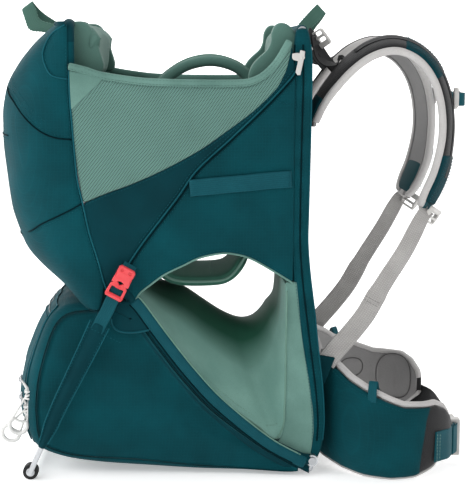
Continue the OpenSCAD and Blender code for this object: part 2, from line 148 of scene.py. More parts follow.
def sweep(name, path, section, across, material, closed=False, scale=None, subdiv=0, cap=True):
    """A closed section of (across, normal) points swept along a path."""
    p = arr(path)
    t = tangents(p, closed)
    a = np.broadcast_to(arr(across), p.shape).copy()
    a = unit(a - (a * t).sum(1, keepdims=True) * t)
    n = np.cross(t, a)
    sec = arr(section)
    k = np.ones((len(p), 2)) if scale is None else arr(scale)
    if k.ndim == 1:
        k = np.stack([k, k], axis=1)
    verts = (p[:, None] + a[:, None] * (sec[None, :, :1] * k[:, None, :1])
             + n[:, None] * (sec[None, :, 1:] * k[:, None, 1:]))
    length = np.concatenate([[0], np.cumsum(np.linalg.norm(np.diff(p, axis=0), axis=1))])
    run = np.stack([np.broadcast_to(length[:, None], verts.shape[:2]),
                    np.broadcast_to(sec[None, :, 0], verts.shape[:2]),
                    np.broadcast_to(sec[None, :, 1], verts.shape[:2])], axis=2)
    faces = grid_faces(len(p), len(sec), closed, True)
    if cap and not closed:
        faces.append(tuple(range(len(sec)))[::-1])
        faces.append(tuple((len(p) - 1) * len(sec) + i for i in range(len(sec))))
    obj = make(name, verts.reshape(-1, 3), faces, material, run.reshape(-1, 3))
    if subdiv:
        modifier(obj, "SUBSURF", levels=subdiv, render_levels=subdiv)
    return obj


def round_section(rx, ry, count=12, power=1.0):
    """A superellipse with half widths rx and ry. A smaller power makes it squarer."""
    out = []
    for k in range(count):
        a = 2 * math.pi * k / count
        c, s = math.cos(a), math.sin(a)
        out.append((rx * math.copysign(abs(c) ** power, c), ry * math.copysign(abs(s) ** power, s)))
    return out


def flat_section(width, thick):
    """A webbing section with rounded selvedges, thinned a little beside them."""
    w, t = width / 2, thick / 2
    half = [(-w + t * 0.3, -t * 0.6), (-w + t, -t), (-w + 2.2, -t * 0.8), (0, -t * 0.92),
            (w - 2.2, -t * 0.8), (w - t, -t), (w - t * 0.3, -t * 0.6)]
    return half + [(w, 0)] + [(x, -y) for x, y in half[::-1]] + [(-w, 0)]


def ribbon(name, path, width, thick, across, material, count=None, closed=False, subdiv=0):
    """A flat strip of webbing along a path."""
    p = smooth(path, count or max(8, len(path) * 6), closed)
    return sweep(name, p, flat_section(width, thick), across, material, closed, subdiv=subdiv)


def tube(name, path, radius, material, count=None, closed=False, sides=8, across=(0, 1, 0.05)):
    """A round rod along a path."""
    p = smooth(path, count or max(8, len(path) * 5), closed)
    return sweep(name, p, round_section(radius, radius, sides), across, material, closed)


def solid(name, outline, holes, thick, material, origin, axes, bevel=0.8, body_z=0):
    """A moulded plate: an outline with holes, thickness centred on body_z, edges rounded."""
    curve = bpy.data.curves.new(name + "_c", "CURVE")
    curve.dimensions, curve.fill_mode = "2D", "BOTH"
    curve.extrude, curve.bevel_depth, curve.bevel_resolution = thick / 2 - bevel, bevel, 2
    curve.offset = -bevel
    for loop in [outline] + list(holes):
        spline = curve.splines.new("POLY")
        spline.points.add(len(loop) - 1)
        for point, (x, y) in zip(spline.points, loop):
            point.co = (x, y, 0, 1)
        spline.use_cyclic_u = True
    temp = bpy.data.objects.new(name + "_t", curve)
    bpy.context.scene.collection.objects.link(temp)
    bpy.context.view_layer.update()
    mesh = bpy.data.meshes.new_from_object(temp.evaluated_get(bpy.context.evaluated_depsgraph_get()))
    bpy.data.objects.remove(temp)
    bpy.data.curves.remove(curve)
    co = arr([v.co for v in mesh.vertices])
    ax = [arr(a) for a in axes]
    world = arr(origin) + co[:, :1] * ax[0] + co[:, 1:2] * ax[1] + (co[:, 2:] + body_z) * ax[2]
    faces = [tuple(f.vertices) for f in mesh.polygons]
    if np.dot(np.cross(ax[0], ax[1]), ax[2]) < 0:
        faces = [f[::-1] for f in faces]
    bpy.data.meshes.remove(mesh)
    obj = make(name, world, faces, material)
    modifier(obj, "WELD", merge_threshold=0.00002)
    obj.data.polygons.foreach_set("use_smooth", [True] * len(obj.data.polygons))
    modifier(obj, "EDGE_SPLIT", split_angle=math.radians(40))
    return obj


def rounded(w, h, r, cx=0.0, cy=0.0, n=4):
    """Outline of a rounded rectangle."""
    out = []
    for sx, sy, a0 in ((1, 1, 0), (-1, 1, 90), (-1, -1, 180), (1, -1, 270)):
        for k in range(n + 1):
            a = math.radians(a0 + 90 * k / n)
            out.append((cx + sx * (w / 2 - r) + r * math.cos(a), cy + sy * (h / 2 - r) + r * math.sin(a)))
    return out


def circle(r, cx=0.0, cy=0.0, n=14):
    """n points on a circle."""
    turns = [2 * math.pi * k / n for k in range(n)]
    return [(cx + r * math.cos(a), cy + r * math.sin(a)) for a in turns]


def join(name, objs):
    """One object from several, so that a set of small things is one piece."""
    verts, faces, base = [], [], 0
    runs = []
    for o in objs:
        co = [v.co / MM for v in o.data.vertices]
        verts += co
        faces += [tuple(i + base for i in f.vertices) for f in o.data.polygons]
        layer = o.data.attributes.get("run")
        runs += [tuple(d.vector / MM) for d in layer.data] if layer else [(0, 0, 0)] * len(co)
        base += len(co)
    material = objs[0].data.materials[0]
    keep = [(m.type, m) for m in objs[0].modifiers]
    out = make(name, verts, faces, material, runs)
    for kind, m in keep:
        if kind == "SUBSURF":
            modifier(out, kind, levels=m.levels, render_levels=m.render_levels)
        elif kind == "WELD":
            modifier(out, kind, merge_threshold=m.merge_threshold)
        elif kind == "EDGE_SPLIT":
            modifier(out, kind, split_angle=m.split_angle)
        elif kind == "SOLIDIFY":
            modifier(out, kind, thickness=m.thickness, offset=m.offset)
    for o in objs:
        data = o.data
        bpy.data.objects.remove(o)
        bpy.data.meshes.remove(data)
    return out


def stitches(name, paths, material, length=3.2, gap=1.8, radius=0.45):
    """Rows of single stitches, each a small rounded rod."""
    verts, faces = [], []
    for path in paths:
        p = smooth(path, max(8, len(path) * 8))
        steps = np.concatenate([[0], np.cumsum(np.linalg.norm(np.diff(p, axis=0), axis=1))])
        at = 0.0
        while at + length < steps[-1]:
            a = arr([np.interp(at, steps, p[:, k]) for k in range(3)])
            b = arr([np.interp(at + length, steps, p[:, k]) for k in range(3)])
            t = unit(b - a)
            u = unit(np.cross(t, arr([0.12, 0.9, 0.31])))
            w = np.cross(t, u)
            base = len(verts)
            verts.append(a)
            for f, r in ((0.2, 1.0), (0.8, 1.0)):
                c = a + (b - a) * f
                verts += [c + radius * r * (u * math.cos(q) + w * math.sin(q))
                          for q in (0, math.pi / 2, math.pi, 3 * math.pi / 2)]
            verts.append(b)
            for j in range(4):
                k = (j + 1) % 4
                faces += [(base, base + 1 + k, base + 1 + j),
                          (base + 1 + j, base + 1 + k, base + 5 + k, base + 5 + j),
                          (base + 5 + j, base + 5 + k, base + 9)]
            at += length + gap
    return make(name, verts, faces, material)


def inflate(obj, voxel=5.0, cap=8.0, pressure=4.0):
    """Padded fabric: voxel remesh, cloth under pressure, capped and applied."""
    scene = bpy.context.scene
    modifier(obj, "REMESH", mode="VOXEL", voxel_size=voxel * MM)
    bpy.context.view_layer.update()
    mesh = bpy.data.meshes.new_from_object(obj.evaluated_get(bpy.context.evaluated_depsgraph_get()))
    obj.modifiers.clear()
    obj.data = mesh
    rest = arr([v.co for v in mesh.vertices])
    cloth = modifier(obj, "CLOTH")
    s = cloth.settings
    s.quality, s.mass, s.use_pressure, s.uniform_pressure_force = 5, 0.2, True, pressure
    s.effector_weights.gravity = 0
    s.tension_stiffness = s.compression_stiffness = 15
    cloth.point_cache.frame_start, cloth.point_cache.frame_end = 1, 20
    for f in range(1, 21):
        scene.frame_set(f)
    moved = obj.evaluated_get(bpy.context.evaluated_depsgraph_get()).data
    co = arr([v.co for v in moved.vertices])
    step = co - rest
    size = np.linalg.norm(step, axis=1, keepdims=True)
    co = rest + step * np.minimum(1, cap * MM / np.maximum(size, 1e-9))
    obj.modifiers.clear()
    scene.frame_set(1)
    mesh.vertices.foreach_set("co", co.astype(np.float32).ravel())
    mesh.update()
    mesh.polygons.foreach_set("use_smooth", [True] * len(mesh.polygons))
    modifier(obj, "SUBSURF", levels=1, render_levels=1)
    return obj


# --------------------------------------------------------------- materials
def rgb(code):
    """Linear colour from an sRGB hex code."""
    out = []
    for i in (0, 2, 4):
        c = int(code[i:i + 2], 16) / 255
        out.append(c / 12.92 if c <= 0.04045 else ((c + 0.055) / 1.055) ** 2.4)
    return (*out, 1.0)


def shaded(code, factor):
    """An sRGB hex colour made darker or lighter, as a linear colour."""
    return tuple(min(1, c * factor) for c in rgb(code)[:3]) + (1.0,)


class Nodes:
    """A material's node tree, with short ways to add and link nodes."""

    def __init__(self, name):
        self.material = bpy.data.materials.new(name)
        self.material.use_nodes = True
        self.tree = self.material.node_tree
        self.tree.nodes.clear()
        self.out = self.add("ShaderNodeOutputMaterial")
        self.bsdf = self.add("ShaderNodeBsdfPrincipled")
        self.link(self.bsdf.outputs[0], self.out.inputs[0])
        self.place = self.add("ShaderNodeTexCoord").outputs["Object"]

    def add(self, kind, **settings):
        """Adds a node and sets its values."""
        node = self.tree.nodes.new(kind)
        for key, value in settings.items():
            setattr(node, key, value)
        return node

    def link(self, a, b):
        """Joins an output socket to an input socket."""
        self.tree.links.new(a, b)

    def math(self, operation, a, b=None, c=None):
        """A Math node. Each input is a number or a socket."""
        node = self.add("ShaderNodeMath", operation=operation)
        for socket, value in zip(node.inputs, (a, b, c)):
            if isinstance(value, (int, float)):
                socket.default_value = value
            elif value is not None:
                self.link(value, socket)
        return node.outputs[0]

    def noise(self, scale, detail=3.0, rough=0.5, vector=None):
        """Noise in the object's own coordinates, or along another vector."""
        node = self.add("ShaderNodeTexNoise")
        node.inputs["Scale"].default_value = scale
        node.inputs["Detail"].default_value = detail
        node.inputs["Roughness"].default_value = rough
        self.link(vector or self.place, node.inputs["Vector"])
        return node.outputs["Fac"]

    def scaled_place(self, scale):
        """The object's own coordinates, stretched along each axis."""
        mapping = self.add("ShaderNodeMapping")
        mapping.inputs["Scale"].default_value = scale
        self.link(self.place, mapping.inputs["Vector"])
        return mapping.outputs[0]

    def axis(self, vector, scale, rotation=(0, 0, 0)):
        """X, Y and Z of a vector, after it is scaled and turned."""
        mapping = self.add("ShaderNodeMapping")
        mapping.inputs["Scale"].default_value = scale
        mapping.inputs["Rotation"].default_value = [math.radians(r) for r in rotation]
        self.link(vector, mapping.inputs["Vector"])
        split = self.add("ShaderNodeSeparateXYZ")
        self.link(mapping.outputs[0], split.inputs[0])
        return split.outputs

    def wave(self, value, period):
        """0 to 1 and back over each period, in metres."""
        return self.math("MULTIPLY_ADD", self.math("SINE",
                                                   self.math("MULTIPLY", value, 2 * math.pi / period)),
                         0.5, 0.5)

    def mix(self, factor, a, b):
        """A colour between a and b."""
        node = self.add("ShaderNodeMix", data_type="RGBA")
        if isinstance(factor, float):
            node.inputs[0].default_value = factor
        else:
            self.link(factor, node.inputs[0])
        for socket, value in ((node.inputs[6], a), (node.inputs[7], b)):
            if isinstance(value, tuple):
                socket.default_value = value
            else:
                self.link(value, socket)
        return node.outputs[2]

    def ramp(self, value, low, high):
        """0 to 1 while the value goes from low to high."""
        node = self.add("ShaderNodeMapRange")
        node.inputs["From Min"].default_value, node.inputs["From Max"].default_value = low, high
        self.link(value, node.inputs["Value"])
        return node.outputs[0]

    def finish(self, colour, rough, height, strength, distance, sheen=0.0, metallic=0.0, specular=0.3,
               coat=0.0):
        """Sets the shader's values and bump, and returns the material."""
        b = self.bsdf.inputs
        self.link(colour, b["Base Color"])
        if isinstance(rough, float):
            b["Roughness"].default_value = rough
        else:
            self.link(rough, b["Roughness"])
        b["Metallic"].default_value = metallic
        b["Specular IOR Level"].default_value = specular
        b["Sheen Weight"].default_value = sheen
        b["Sheen Roughness"].default_value = 0.5
        b["Coat Weight"].default_value = coat
        bump = self.add("ShaderNodeBump")
        bump.inputs["Strength"].default_value = strength
        bump.inputs["Distance"].default_value = distance
        self.link(height, bump.inputs["Height"])
        self.link(bump.outputs[0], b["Normal"])
        return self.material


def woven(name, colour, light, thread=1.5, ripstop=0.0, strength=0.35, sheen=0.15, rough=0.75, tilt=0.0,
          specular=0.2, inner=None):
    """Plain-woven fabric: threads both ways, optional ripstop squares, soft wear and uneven dye."""
    n = Nodes(name)
    x, y, z = n.axis(n.place, (1, 1, 1), (0, tilt, 0))
    across = n.wave(n.math("ADD", x, y), thread * MM)
    along = n.wave(z, thread * MM)
    weave = n.math("MULTIPLY", n.math("ADD", across, along), 0.5)
    blotch = n.noise(14.0, 4.0)
    fibre = n.noise(900.0, 2.0)
    colour_out = n.mix(n.math("MULTIPLY", n.ramp(blotch, 0.35, 0.7), 0.55), rgb(colour), rgb(light))
    dark = shaded(colour, 0.6)
    colour_out = n.mix(n.math("MULTIPLY", n.ramp(fibre, 0.45, 0.75), 0.3), colour_out, dark)
    if inner:
        # The colour darkens towards the middle, across Y. It imitates the shade inside the carrier
        # and isn't known to be another cloth.
        from_middle = n.math("ABSOLUTE", n.axis(n.place, (1, 1, 1))[1])
        middle = n.math("SUBTRACT", 1.0, n.ramp(from_middle, 0.06, 0.1))
        colour_out = n.mix(middle, colour_out, rgb(inner))
    height = n.math("MULTIPLY_ADD", fibre, 0.35, weave)
    if ripstop:
        line = n.math("MAXIMUM", n.math("POWER", n.wave(n.math("ADD", x, y), ripstop * MM), 14.0),
                      n.math("POWER", n.wave(z, ripstop * MM), 14.0))
        colour_out = n.mix(n.math("MULTIPLY", line, 0.22), colour_out, rgb(light))
        height = n.math("MULTIPLY_ADD", line, 0.9, height)
    roughness = n.math("MULTIPLY_ADD", blotch, 0.15, rough - 0.08)
    return n.finish(colour_out, roughness, height, strength, 0.0004, sheen, specular=specular)


def holed(name, colour, hole, pitch=4.2, turn=38.0, size=(0.52, 0.72), strength=0.6, rough=0.8,
          squash_y=1.0):
    """Spacer mesh: rows of small dark holes on a diagonal."""
    n = Nodes(name)
    x, y, z = n.axis(n.place, (1, 1, 1), (0, turn, 0))
    u = n.wave(n.math("ADD", x, n.math("MULTIPLY", y, squash_y)), pitch * MM)
    v = n.wave(z, pitch * 0.62 * MM)
    dots = n.ramp(n.math("MULTIPLY", u, v), *size)
    soft = n.noise(20.0, 3.0)
    fibre = n.noise(700.0, 2.0)
    base = n.mix(n.math("MULTIPLY", n.ramp(soft, 0.35, 0.7), 0.4), rgb(colour),
                 shaded(colour, 1.25))
    base = n.mix(n.math("MULTIPLY", fibre, 0.25), base, shaded(colour, 0.6))
    base = n.mix(n.math("MULTIPLY", dots, 0.85), base, rgb(hole))
    height = n.math("MULTIPLY_ADD", fibre, 0.2, n.math("SUBTRACT", 1.0, dots))
    return n.finish(base, rough, height, strength, 0.0006, 0.15)


def webbed(name, colour, light, rib=2.0, strength=0.5, rough=0.65, sheen=0.1):
    """Woven webbing: ribs across its length and a herringbone along it, from each strip's own run."""
    n = Nodes(name)
    run = n.add("ShaderNodeAttribute", attribute_name="run").outputs["Vector"]
    along, across, _ = n.axis(run, (1, 1, 1))
    rib_wave = n.wave(n.math("ADD", along, n.math("MULTIPLY", n.wave(across, 6 * MM), 0.6 * MM)), rib * MM)
    lanes = n.wave(across, 3.0 * MM)
    fibre = n.noise(800.0, 2.0)
    soft = n.noise(30.0, 3.0)
    base = n.mix(n.math("MULTIPLY", n.math("MULTIPLY", rib_wave, lanes), 0.5), rgb(colour), rgb(light))
    base = n.mix(n.math("MULTIPLY", n.ramp(soft, 0.4, 0.7), 0.25), base, rgb(light))
    base = n.mix(n.math("MULTIPLY", fibre, 0.3), base, shaded(colour, 0.55))
    height = n.math("MULTIPLY_ADD", lanes, 0.5, n.math("MULTIPLY_ADD", fibre, 0.2, rib_wave))
    return n.finish(base, rough, height, strength, 0.0004, sheen, specular=0.12)


def plastic(name, colour, light, rough=0.38, grain=0.12, specular=0.5):
    """Moulded plastic with a fine spark-eroded grain and handled, slightly shinier spots."""
    n = Nodes(name)
    soft = n.noise(60.0, 3.0)
    grain_noise = n.noise(2600.0, 2.0)
    base = n.mix(n.math("MULTIPLY", n.ramp(soft, 0.4, 0.7), 0.35), rgb(colour), rgb(light))
    roughness = n.math("MULTIPLY_ADD", soft, -0.15, rough + 0.08)
    return n.finish(base, roughness, grain_noise, grain, 0.0002, specular=specular)


def metal(name, colour, rough=0.3):
    """Drawn metal tube: fine lines along it, faint smudges."""
    n = Nodes(name)
    lines = n.noise(1.0, 3.0, vector=n.scaled_place((900, 60, 900)))
    smudge = n.noise(35.0, 4.0)
    base = n.mix(n.math("MULTIPLY", lines, 0.4), rgb(colour),
                 shaded(colour, 0.8))
    roughness = n.math("MULTIPLY_ADD", smudge, 0.2, rough - 0.05)
    return n.finish(base, roughness, lines, 0.1, 0.0001, metallic=1.0, specular=0.5)


TEAL = woven("teal_cloth", "00383F", "044E57", thread=1.1, ripstop=5.0, strength=0.45, sheen=0.02,
             specular=0.08)
TEAL_DARK = woven("teal_cloth_dark", "002E35", "034049", thread=1.0, strength=0.4, sheen=0.02, specular=0.08)
TEAL_BAND = webbed("teal_band", "04444E", "125E68", sheen=0.02)
# Near-black teal for the cords laid along seams and under edges, which are painted shade.
TEAL_SEAM_SHADOW = woven("teal_seam_shadow", "00191E", "03262C", thread=0.8, strength=0.3, sheen=0.0, specular=0.05)
TEAL_PIPING = woven("teal_piping", "074A54", "125A64", thread=0.8, strength=0.2, sheen=0.02, specular=0.1)
SAGE_WELL = woven("sage_well_cloth", "6C958B", "86AEA3", thread=0.9, strength=0.35, sheen=0.05,
                  inner="205341")
SAGE = woven("sage_cloth", "587C73", "78A096", thread=0.9, strength=0.35, sheen=0.05)
SAGE_DEEP = woven("sage_deep_cloth", "2D5B4C", "447565", thread=0.9, strength=0.3, sheen=0.05)
SAGE_PAD = woven("sage_pad", "4A6C63", "5C7F75", thread=0.9, strength=0.15, sheen=0.05)
SAGE_MESH = holed("sage_mesh", "60867D", "0C2723", pitch=3.6, turn=-38.0, size=(0.3, 0.52))
SAGE_BAND = webbed("sage_band", "64897C", "84A598", sheen=0.05)
SAGE_WEB = webbed("sage_webbing_cloth", "45695E", "5F8478", sheen=0.05)
GREY_LIGHT = woven("light_grey_binding", "B4B2B1", "C8C6C4", thread=1.0, strength=0.3, sheen=0.08)
GREY_PAD = woven("grey_padding_cloth", "838282", "989796", thread=1.1, strength=0.25, sheen=0.05)
GREY_SEAM = woven("grey_seam_thread", "4C4B4B", "5E5D5C", thread=0.8, strength=0.3)
GREY_WEB = webbed("grey_webbing_cloth", "9B9997", "C9C7C5", rib=3.2, strength=0.8, sheen=0.03)
BLACK_MESH = holed("black_mesh_cloth", "1C1C1E", "020203", pitch=3.6, size=(0.4, 0.62), squash_y=1.0)
BLACK_WEB = webbed("black_webbing_cloth", "101113", "26282B")
GREY_PLASTIC = plastic("light_grey_plastic", "BDBBB8", "D0CECB")
HIP_PLASTIC = plastic("grey_plastic_hip", "B4B2AF", "CAC8C5")
RED_PLASTIC = plastic("coral_plastic", "D93C42", "E65055", rough=0.32)
BLACK_PLASTIC = plastic("black_moulding", "141416", "232326", rough=0.45)
RUBBER = plastic("black_rubber", "0D0D0E", "1B1B1C", rough=0.7, grain=0.3)
ALUMINIUM = metal("aluminium_tube", "C9CBCE")
STEEL = metal("steel_pin", "B4B6B9", 0.25)
CORD = webbed("white_cord_cover", "DEDEDC", "F4F4F2", rib=1.4)
TEETH = plastic("zip_teeth", "07353D", "0E474F", rough=0.5)
LINING = woven("teal_lining", "0A3A40", "12484E", thread=0.9, strength=0.15)


def piece(obj, body=None, stands_for=()):
    """Ride and replaced nodes of a piece in one call."""
    if body:
        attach(obj, body)
    if stands_for:
        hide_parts(*stands_for)
    return obj


def cloth(obj, flat, area, held, rests_on):
    """Returns the sheet as it is, with its flat size and area given in metres.

    The area is that of the mesh, and the flat size was chosen to fit it. Neither is used.
    """
    return obj


# ----------------------------------------------------------- cockpit walls
# Outlines as (X, Z) in millimetres, read off the photo and near the CAD part's.
RIM = [(-240, 625), (-216, 619), (-194, 612), (-158, 606), (-121, 602), (-55, 600), (10, 600), (32, 604),
       (48, 613), (64, 629), (76, 648), (84, 662)]
MESH_LOW = [(-222, 424), (-186, 439), (-152, 451), (-100, 474), (-48, 502), (-12, 527), (25, 554), (51, 577),
            (69, 597), (80, 622), (87, 655)]
SEAM = [(-240, 686), (-240, 655), (-239, 619), (-238, 576), (-236, 546), (-233, 502), (-229, 458),
        (-222, 424), (-213, 380), (-201, 339), (-193, 307), (-188, 292)]
PIPING = [(-163, 322), (-137, 361), (-108, 399), (-81, 434), (-53, 473), (-4, 518), (46, 565), (83, 604),
          (93, 618)]
ARCH = [(-153, 264), (-147, 275), (-139, 288), (-124, 300), (-102, 316), (-75, 329), (-49, 341), (-16, 347),
        (6, 345), (28, 338), (56, 322), (91, 300)]


def wall_out(x, z):
    """Gentle billow of the side fabric and a few soft creases."""
    u = min(max((x + 236) / 325, 0), 1)
    v = min(max((z - 296) / 318, 0), 1)
    edge = math.sin(math.pi * u) ** 0.7 * math.sin(math.pi * min(v * 1.02, 1)) ** 0.6
    crease = (1.1 * math.sin(0.043 * x + 0.031 * z) * math.sin(0.019 * z - 0.012 * x)
              + 0.7 * math.sin(0.09 * (x + z) + 1.3 * math.sin(0.02 * z)))
    return edge * (5.0 + crease)


def wall_point(x, z, s, out=0.0):
    """A place on a sloping side wall, out mm further from the middle."""
    base = 151 + (87.5 - x) * 0.0498 + 1.6
    return (x, s * (base + wall_out(x, z) + out), z)


def coons(bottom, top, left, right, cols, rows):
    """Grid between four side curves. left and right go from bottom to top."""
    b, t = smooth(bottom, cols), smooth(top, cols)
    le, ri = smooth(left, rows), smooth(right, rows)
    grid = []
    for j in range(rows):
        v = j / (rows - 1)
        row = []
        for i in range(cols):
            u = i / (cols - 1)
            p = ((1 - v) * b[i] + v * t[i] + (1 - u) * le[j] + u * ri[j]
                 - ((1 - u) * (1 - v) * b[0] + u * (1 - v) * b[-1] + (1 - u) * v * t[0] + u * v * t[-1]))
            row.append(p)
        grid.append(row)
    return grid


def wall_panel(name, grid2d, s, material, out=0.0, thick=2.0):
    """A cloth panel that follows the side wall."""
    return sheet(name, [[wall_point(p[0], p[1], s, out) for p in row] for row in grid2d], material, thick)


def on_wall(points, s, out):
    """The points of a line that follows the side wall."""
    return [wall_point(p[0], p[1], s, out) for p in points]


def blend_wall(obj):
    """Bakes the placement of a piece between the front frame and the rear hoop into its mesh."""
    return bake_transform(obj)


for side, s in SIDES:
    mesh_panel = wall_panel(f"{side}_mesh_panel", coons(
        MESH_LOW, RIM, [(-222, 424), (-233, 502), (-238, 576), (-240, 625)],
        [(87, 655), (86, 658), (85, 660), (84, 662)], 40, 26), s, SAGE_MESH, thick=1.6)
    piece(blend_wall(mesh_panel))
    cloth(mesh_panel, (0.34, 0.24), 0.0353, "stretched", ["front_frame", "rear_hoop"])
    yoke_panel = wall_panel(f"{side}_shoulder_panel", coons(
        [(-188, 292)] + PIPING, MESH_LOW, [(-188, 292), (-201, 339), (-213, 380), (-222, 424)],
        [(93, 618), (91, 630), (89, 642), (87, 655)], 40, 14), s, TEAL_DARK, 0.3)
    piece(blend_wall(yoke_panel))
    cloth(yoke_panel, (0.075, 0.47), 0.0165, "stretched", ["front_frame", "rear_hoop"])
    main_panel = wall_panel(f"{side}_main_panel", coons(
        ARCH, PIPING, [(-153, 264), (-157, 283), (-160, 303), (-163, 322)],
        [(91, 300), (92, 400), (92, 500), (93, 618)], 44, 26), s, TEAL, 0.0)
    piece(blend_wall(main_panel), None, [f"cockpit_wall_{side}"])
    cloth(main_panel, (0.26, 0.36), 0.0402, "stretched", ["front_frame", "rear_hoop"])
    facing = wall_panel(f"{side}_corner_patch", coons(
        [(-237, 560), (-222, 575), (-206, 590), (-190, 606)],
                                                      [(-240, 619), (-224, 616), (-208, 612), (-192, 608)],
        [(-237, 560), (-238, 580), (-239, 600), (-240, 619)],
        [(-190, 606), (-191, 607), (-191, 607), (-192, 608)], 10, 8), s, SAGE, 1.5, thick=1.0)
    piece(blend_wall(facing))
    cloth(facing, (0.05, 0.056), 0.00148, "stretched", [f"{side}_mesh_panel"])
    rim = sweep(f"{side}_rim", smooth(on_wall(RIM, s, 1.0), 70), round_section(5.6, 3.2, 14, 0.8),
                (0, 0, 1), SAGE, subdiv=1)
    piece(blend_wall(rim))
    rim_rows = [on_wall([(x, z + dz) for x, z in RIM[:-1]], s, 3.9) for dz in (-3.4, 2.6)]
    low_row = on_wall([(x, z - 7.5) for x, z in RIM[:-2]], s, 1.6)
    piece(blend_wall(stitches(f"{side}_rim_stitches", rim_rows + [low_row], SAGE_PAD)))
    cords = [tube(f"{side}_seam_a", on_wall(PIPING, s, 2.6), 1.1, TEAL_PIPING, 90),
             tube(f"{side}_seam_c", on_wall(SEAM[2:], s, 1.2), 1.3, TEAL_PIPING, 70)]
    piece(blend_wall(join(f"{side}_seam_piping", cords)))
    # A near-black cord just below the piping: painted shade along the seam.
    shadow = on_wall([(x + 2.6, z - 2.4) for x, z in PIPING], s, 1.9)
    piece(blend_wall(tube(f"{side}_seam_shadow_cord", shadow, 1.1, TEAL_SEAM_SHADOW, 90)))
    piece(blend_wall(tube(f"{side}_arch_piping", on_wall(ARCH, s, 0.6), 1.5, SAGE, 90)))
    rows = [on_wall([(x + 5, z - 4.4) for x, z in PIPING], s, 1.5),
            on_wall([(x - 3, z + 3.4) for x, z in PIPING[1:]], s, 1.9),
            on_wall([(x, z - 3.5) for x, z in MESH_LOW[:-1]], s, 1.7),
            on_wall([(x, z + 5) for x, z in ARCH[3:]], s, 1.5),
            on_wall([(60, 577), (72, 571), (88, 569)], s, 1.5)]
    piece(blend_wall(stitches(f"{side}_panel_stitches", rows, TEAL_PIPING)))
    strap_path = [(-64, 446), (-30, 449), (20, 453), (60, 456.5), (88, 458)]
    grab = ribbon(f"{side}_side_strap", on_wall(strap_path, s, 4.2), 25, 1.7, (0, 0, 1), TEAL_BAND, 30)
    piece(blend_wall(grab), None, ["side_straps"] if s < 0 else [])
    tabs = [on_wall([(x, z) for z in np.linspace(zc - 11, zc + 11, 5)], s, 5.4)
            for x, zc in ((-55, 447), (-51, 447.3), (84, 457.6))]
    piece(blend_wall(stitches(f"{side}_strap_tacks", tabs, TEAL_PIPING, 2.2, 0.9)))


# -------------------------------------------------------------- rear panel
BACK_X = [(262, -236), (283, -259), (309, -292), (345, -324), (401, -343), (442, -352), (506, -356.5),
          (553, -355), (600, -345), (632, -327), (663, -300), (686, -268)]
EDGE_X = [(262, -199), (300, -191), (345, -203), (401, -218), (442, -226), (506, -233), (553, -237),
          (600, -239), (632, -240), (663, -240), (686, -240)]
PANEL_HALF = 166.5


def rear_point(z, a, out=0.0):
    """Point of the bulging rear panel: a runs from 90 at the left hoop to -90 at the right one."""
    f, b = lookup(z, EDGE_X), lookup(z, BACK_X)
    c, s = max(math.cos(math.radians(a)), 0), math.sin(math.radians(a))
    x = f + (b - f) * c ** 0.72
    y = PANEL_HALF * math.copysign(abs(s) ** 0.94, s)
    lumps = (1.6 * math.sin(z * 0.031 + 1.5 * s) * math.sin(a * 0.055)
             + 1.1 * math.sin(0.05 * z + a * 0.11) * math.cos(0.021 * z))
    edge = min(1, (90 - abs(a)) / 14)
    d = out + lumps * edge
    return (x - d * c, y + d * s, z)


def rear_side(x, z, s, out=1.2):
    """Point on the side of the rear panel at a given X."""
    f, b = lookup(z, EDGE_X), lookup(z, BACK_X)
    c = min(max((x - f) / (b - f), 0), 1) ** (1 / 0.72)
    return rear_point(z, s * math.degrees(math.acos(c)), out)


LEVELS = smooth([(262, 0), (300, 0), (345, 0), (401, 0), (442, 0), (506, 0), (553, 0), (600, 0), (632, 0),
                 (663, 0), (686, 0)], 34)[:, 0]
ANGLES = np.linspace(90, -90, 49)
shell = sheet("rear_panel_shell", [[rear_point(z, a) for a in ANGLES] for z in LEVELS], TEAL, 2.2)
piece(shell, "rear_hoop", ["rear_panel"])
cloth(shell, (0.53, 0.46), 0.206, "stretched", ["rear_hoop"])
lining = sheet("rear_panel_lining", [[rear_point(z, a * 0.985, -4.2) for a in ANGLES] for z in LEVELS], SAGE,
               1.6)
piece(lining, "rear_hoop")
cloth(lining, (0.52, 0.45), 0.1946, "hung", ["rear_hoop"])
brow = [rear_point(686, a, 0.4) for a in np.linspace(88, -88, 31)]
piece(sweep("rear_top_piping", smooth(brow, 90), round_section(3.4, 3.0, 10), (0, 0, 1), TEAL_DARK),
      "rear_hoop")
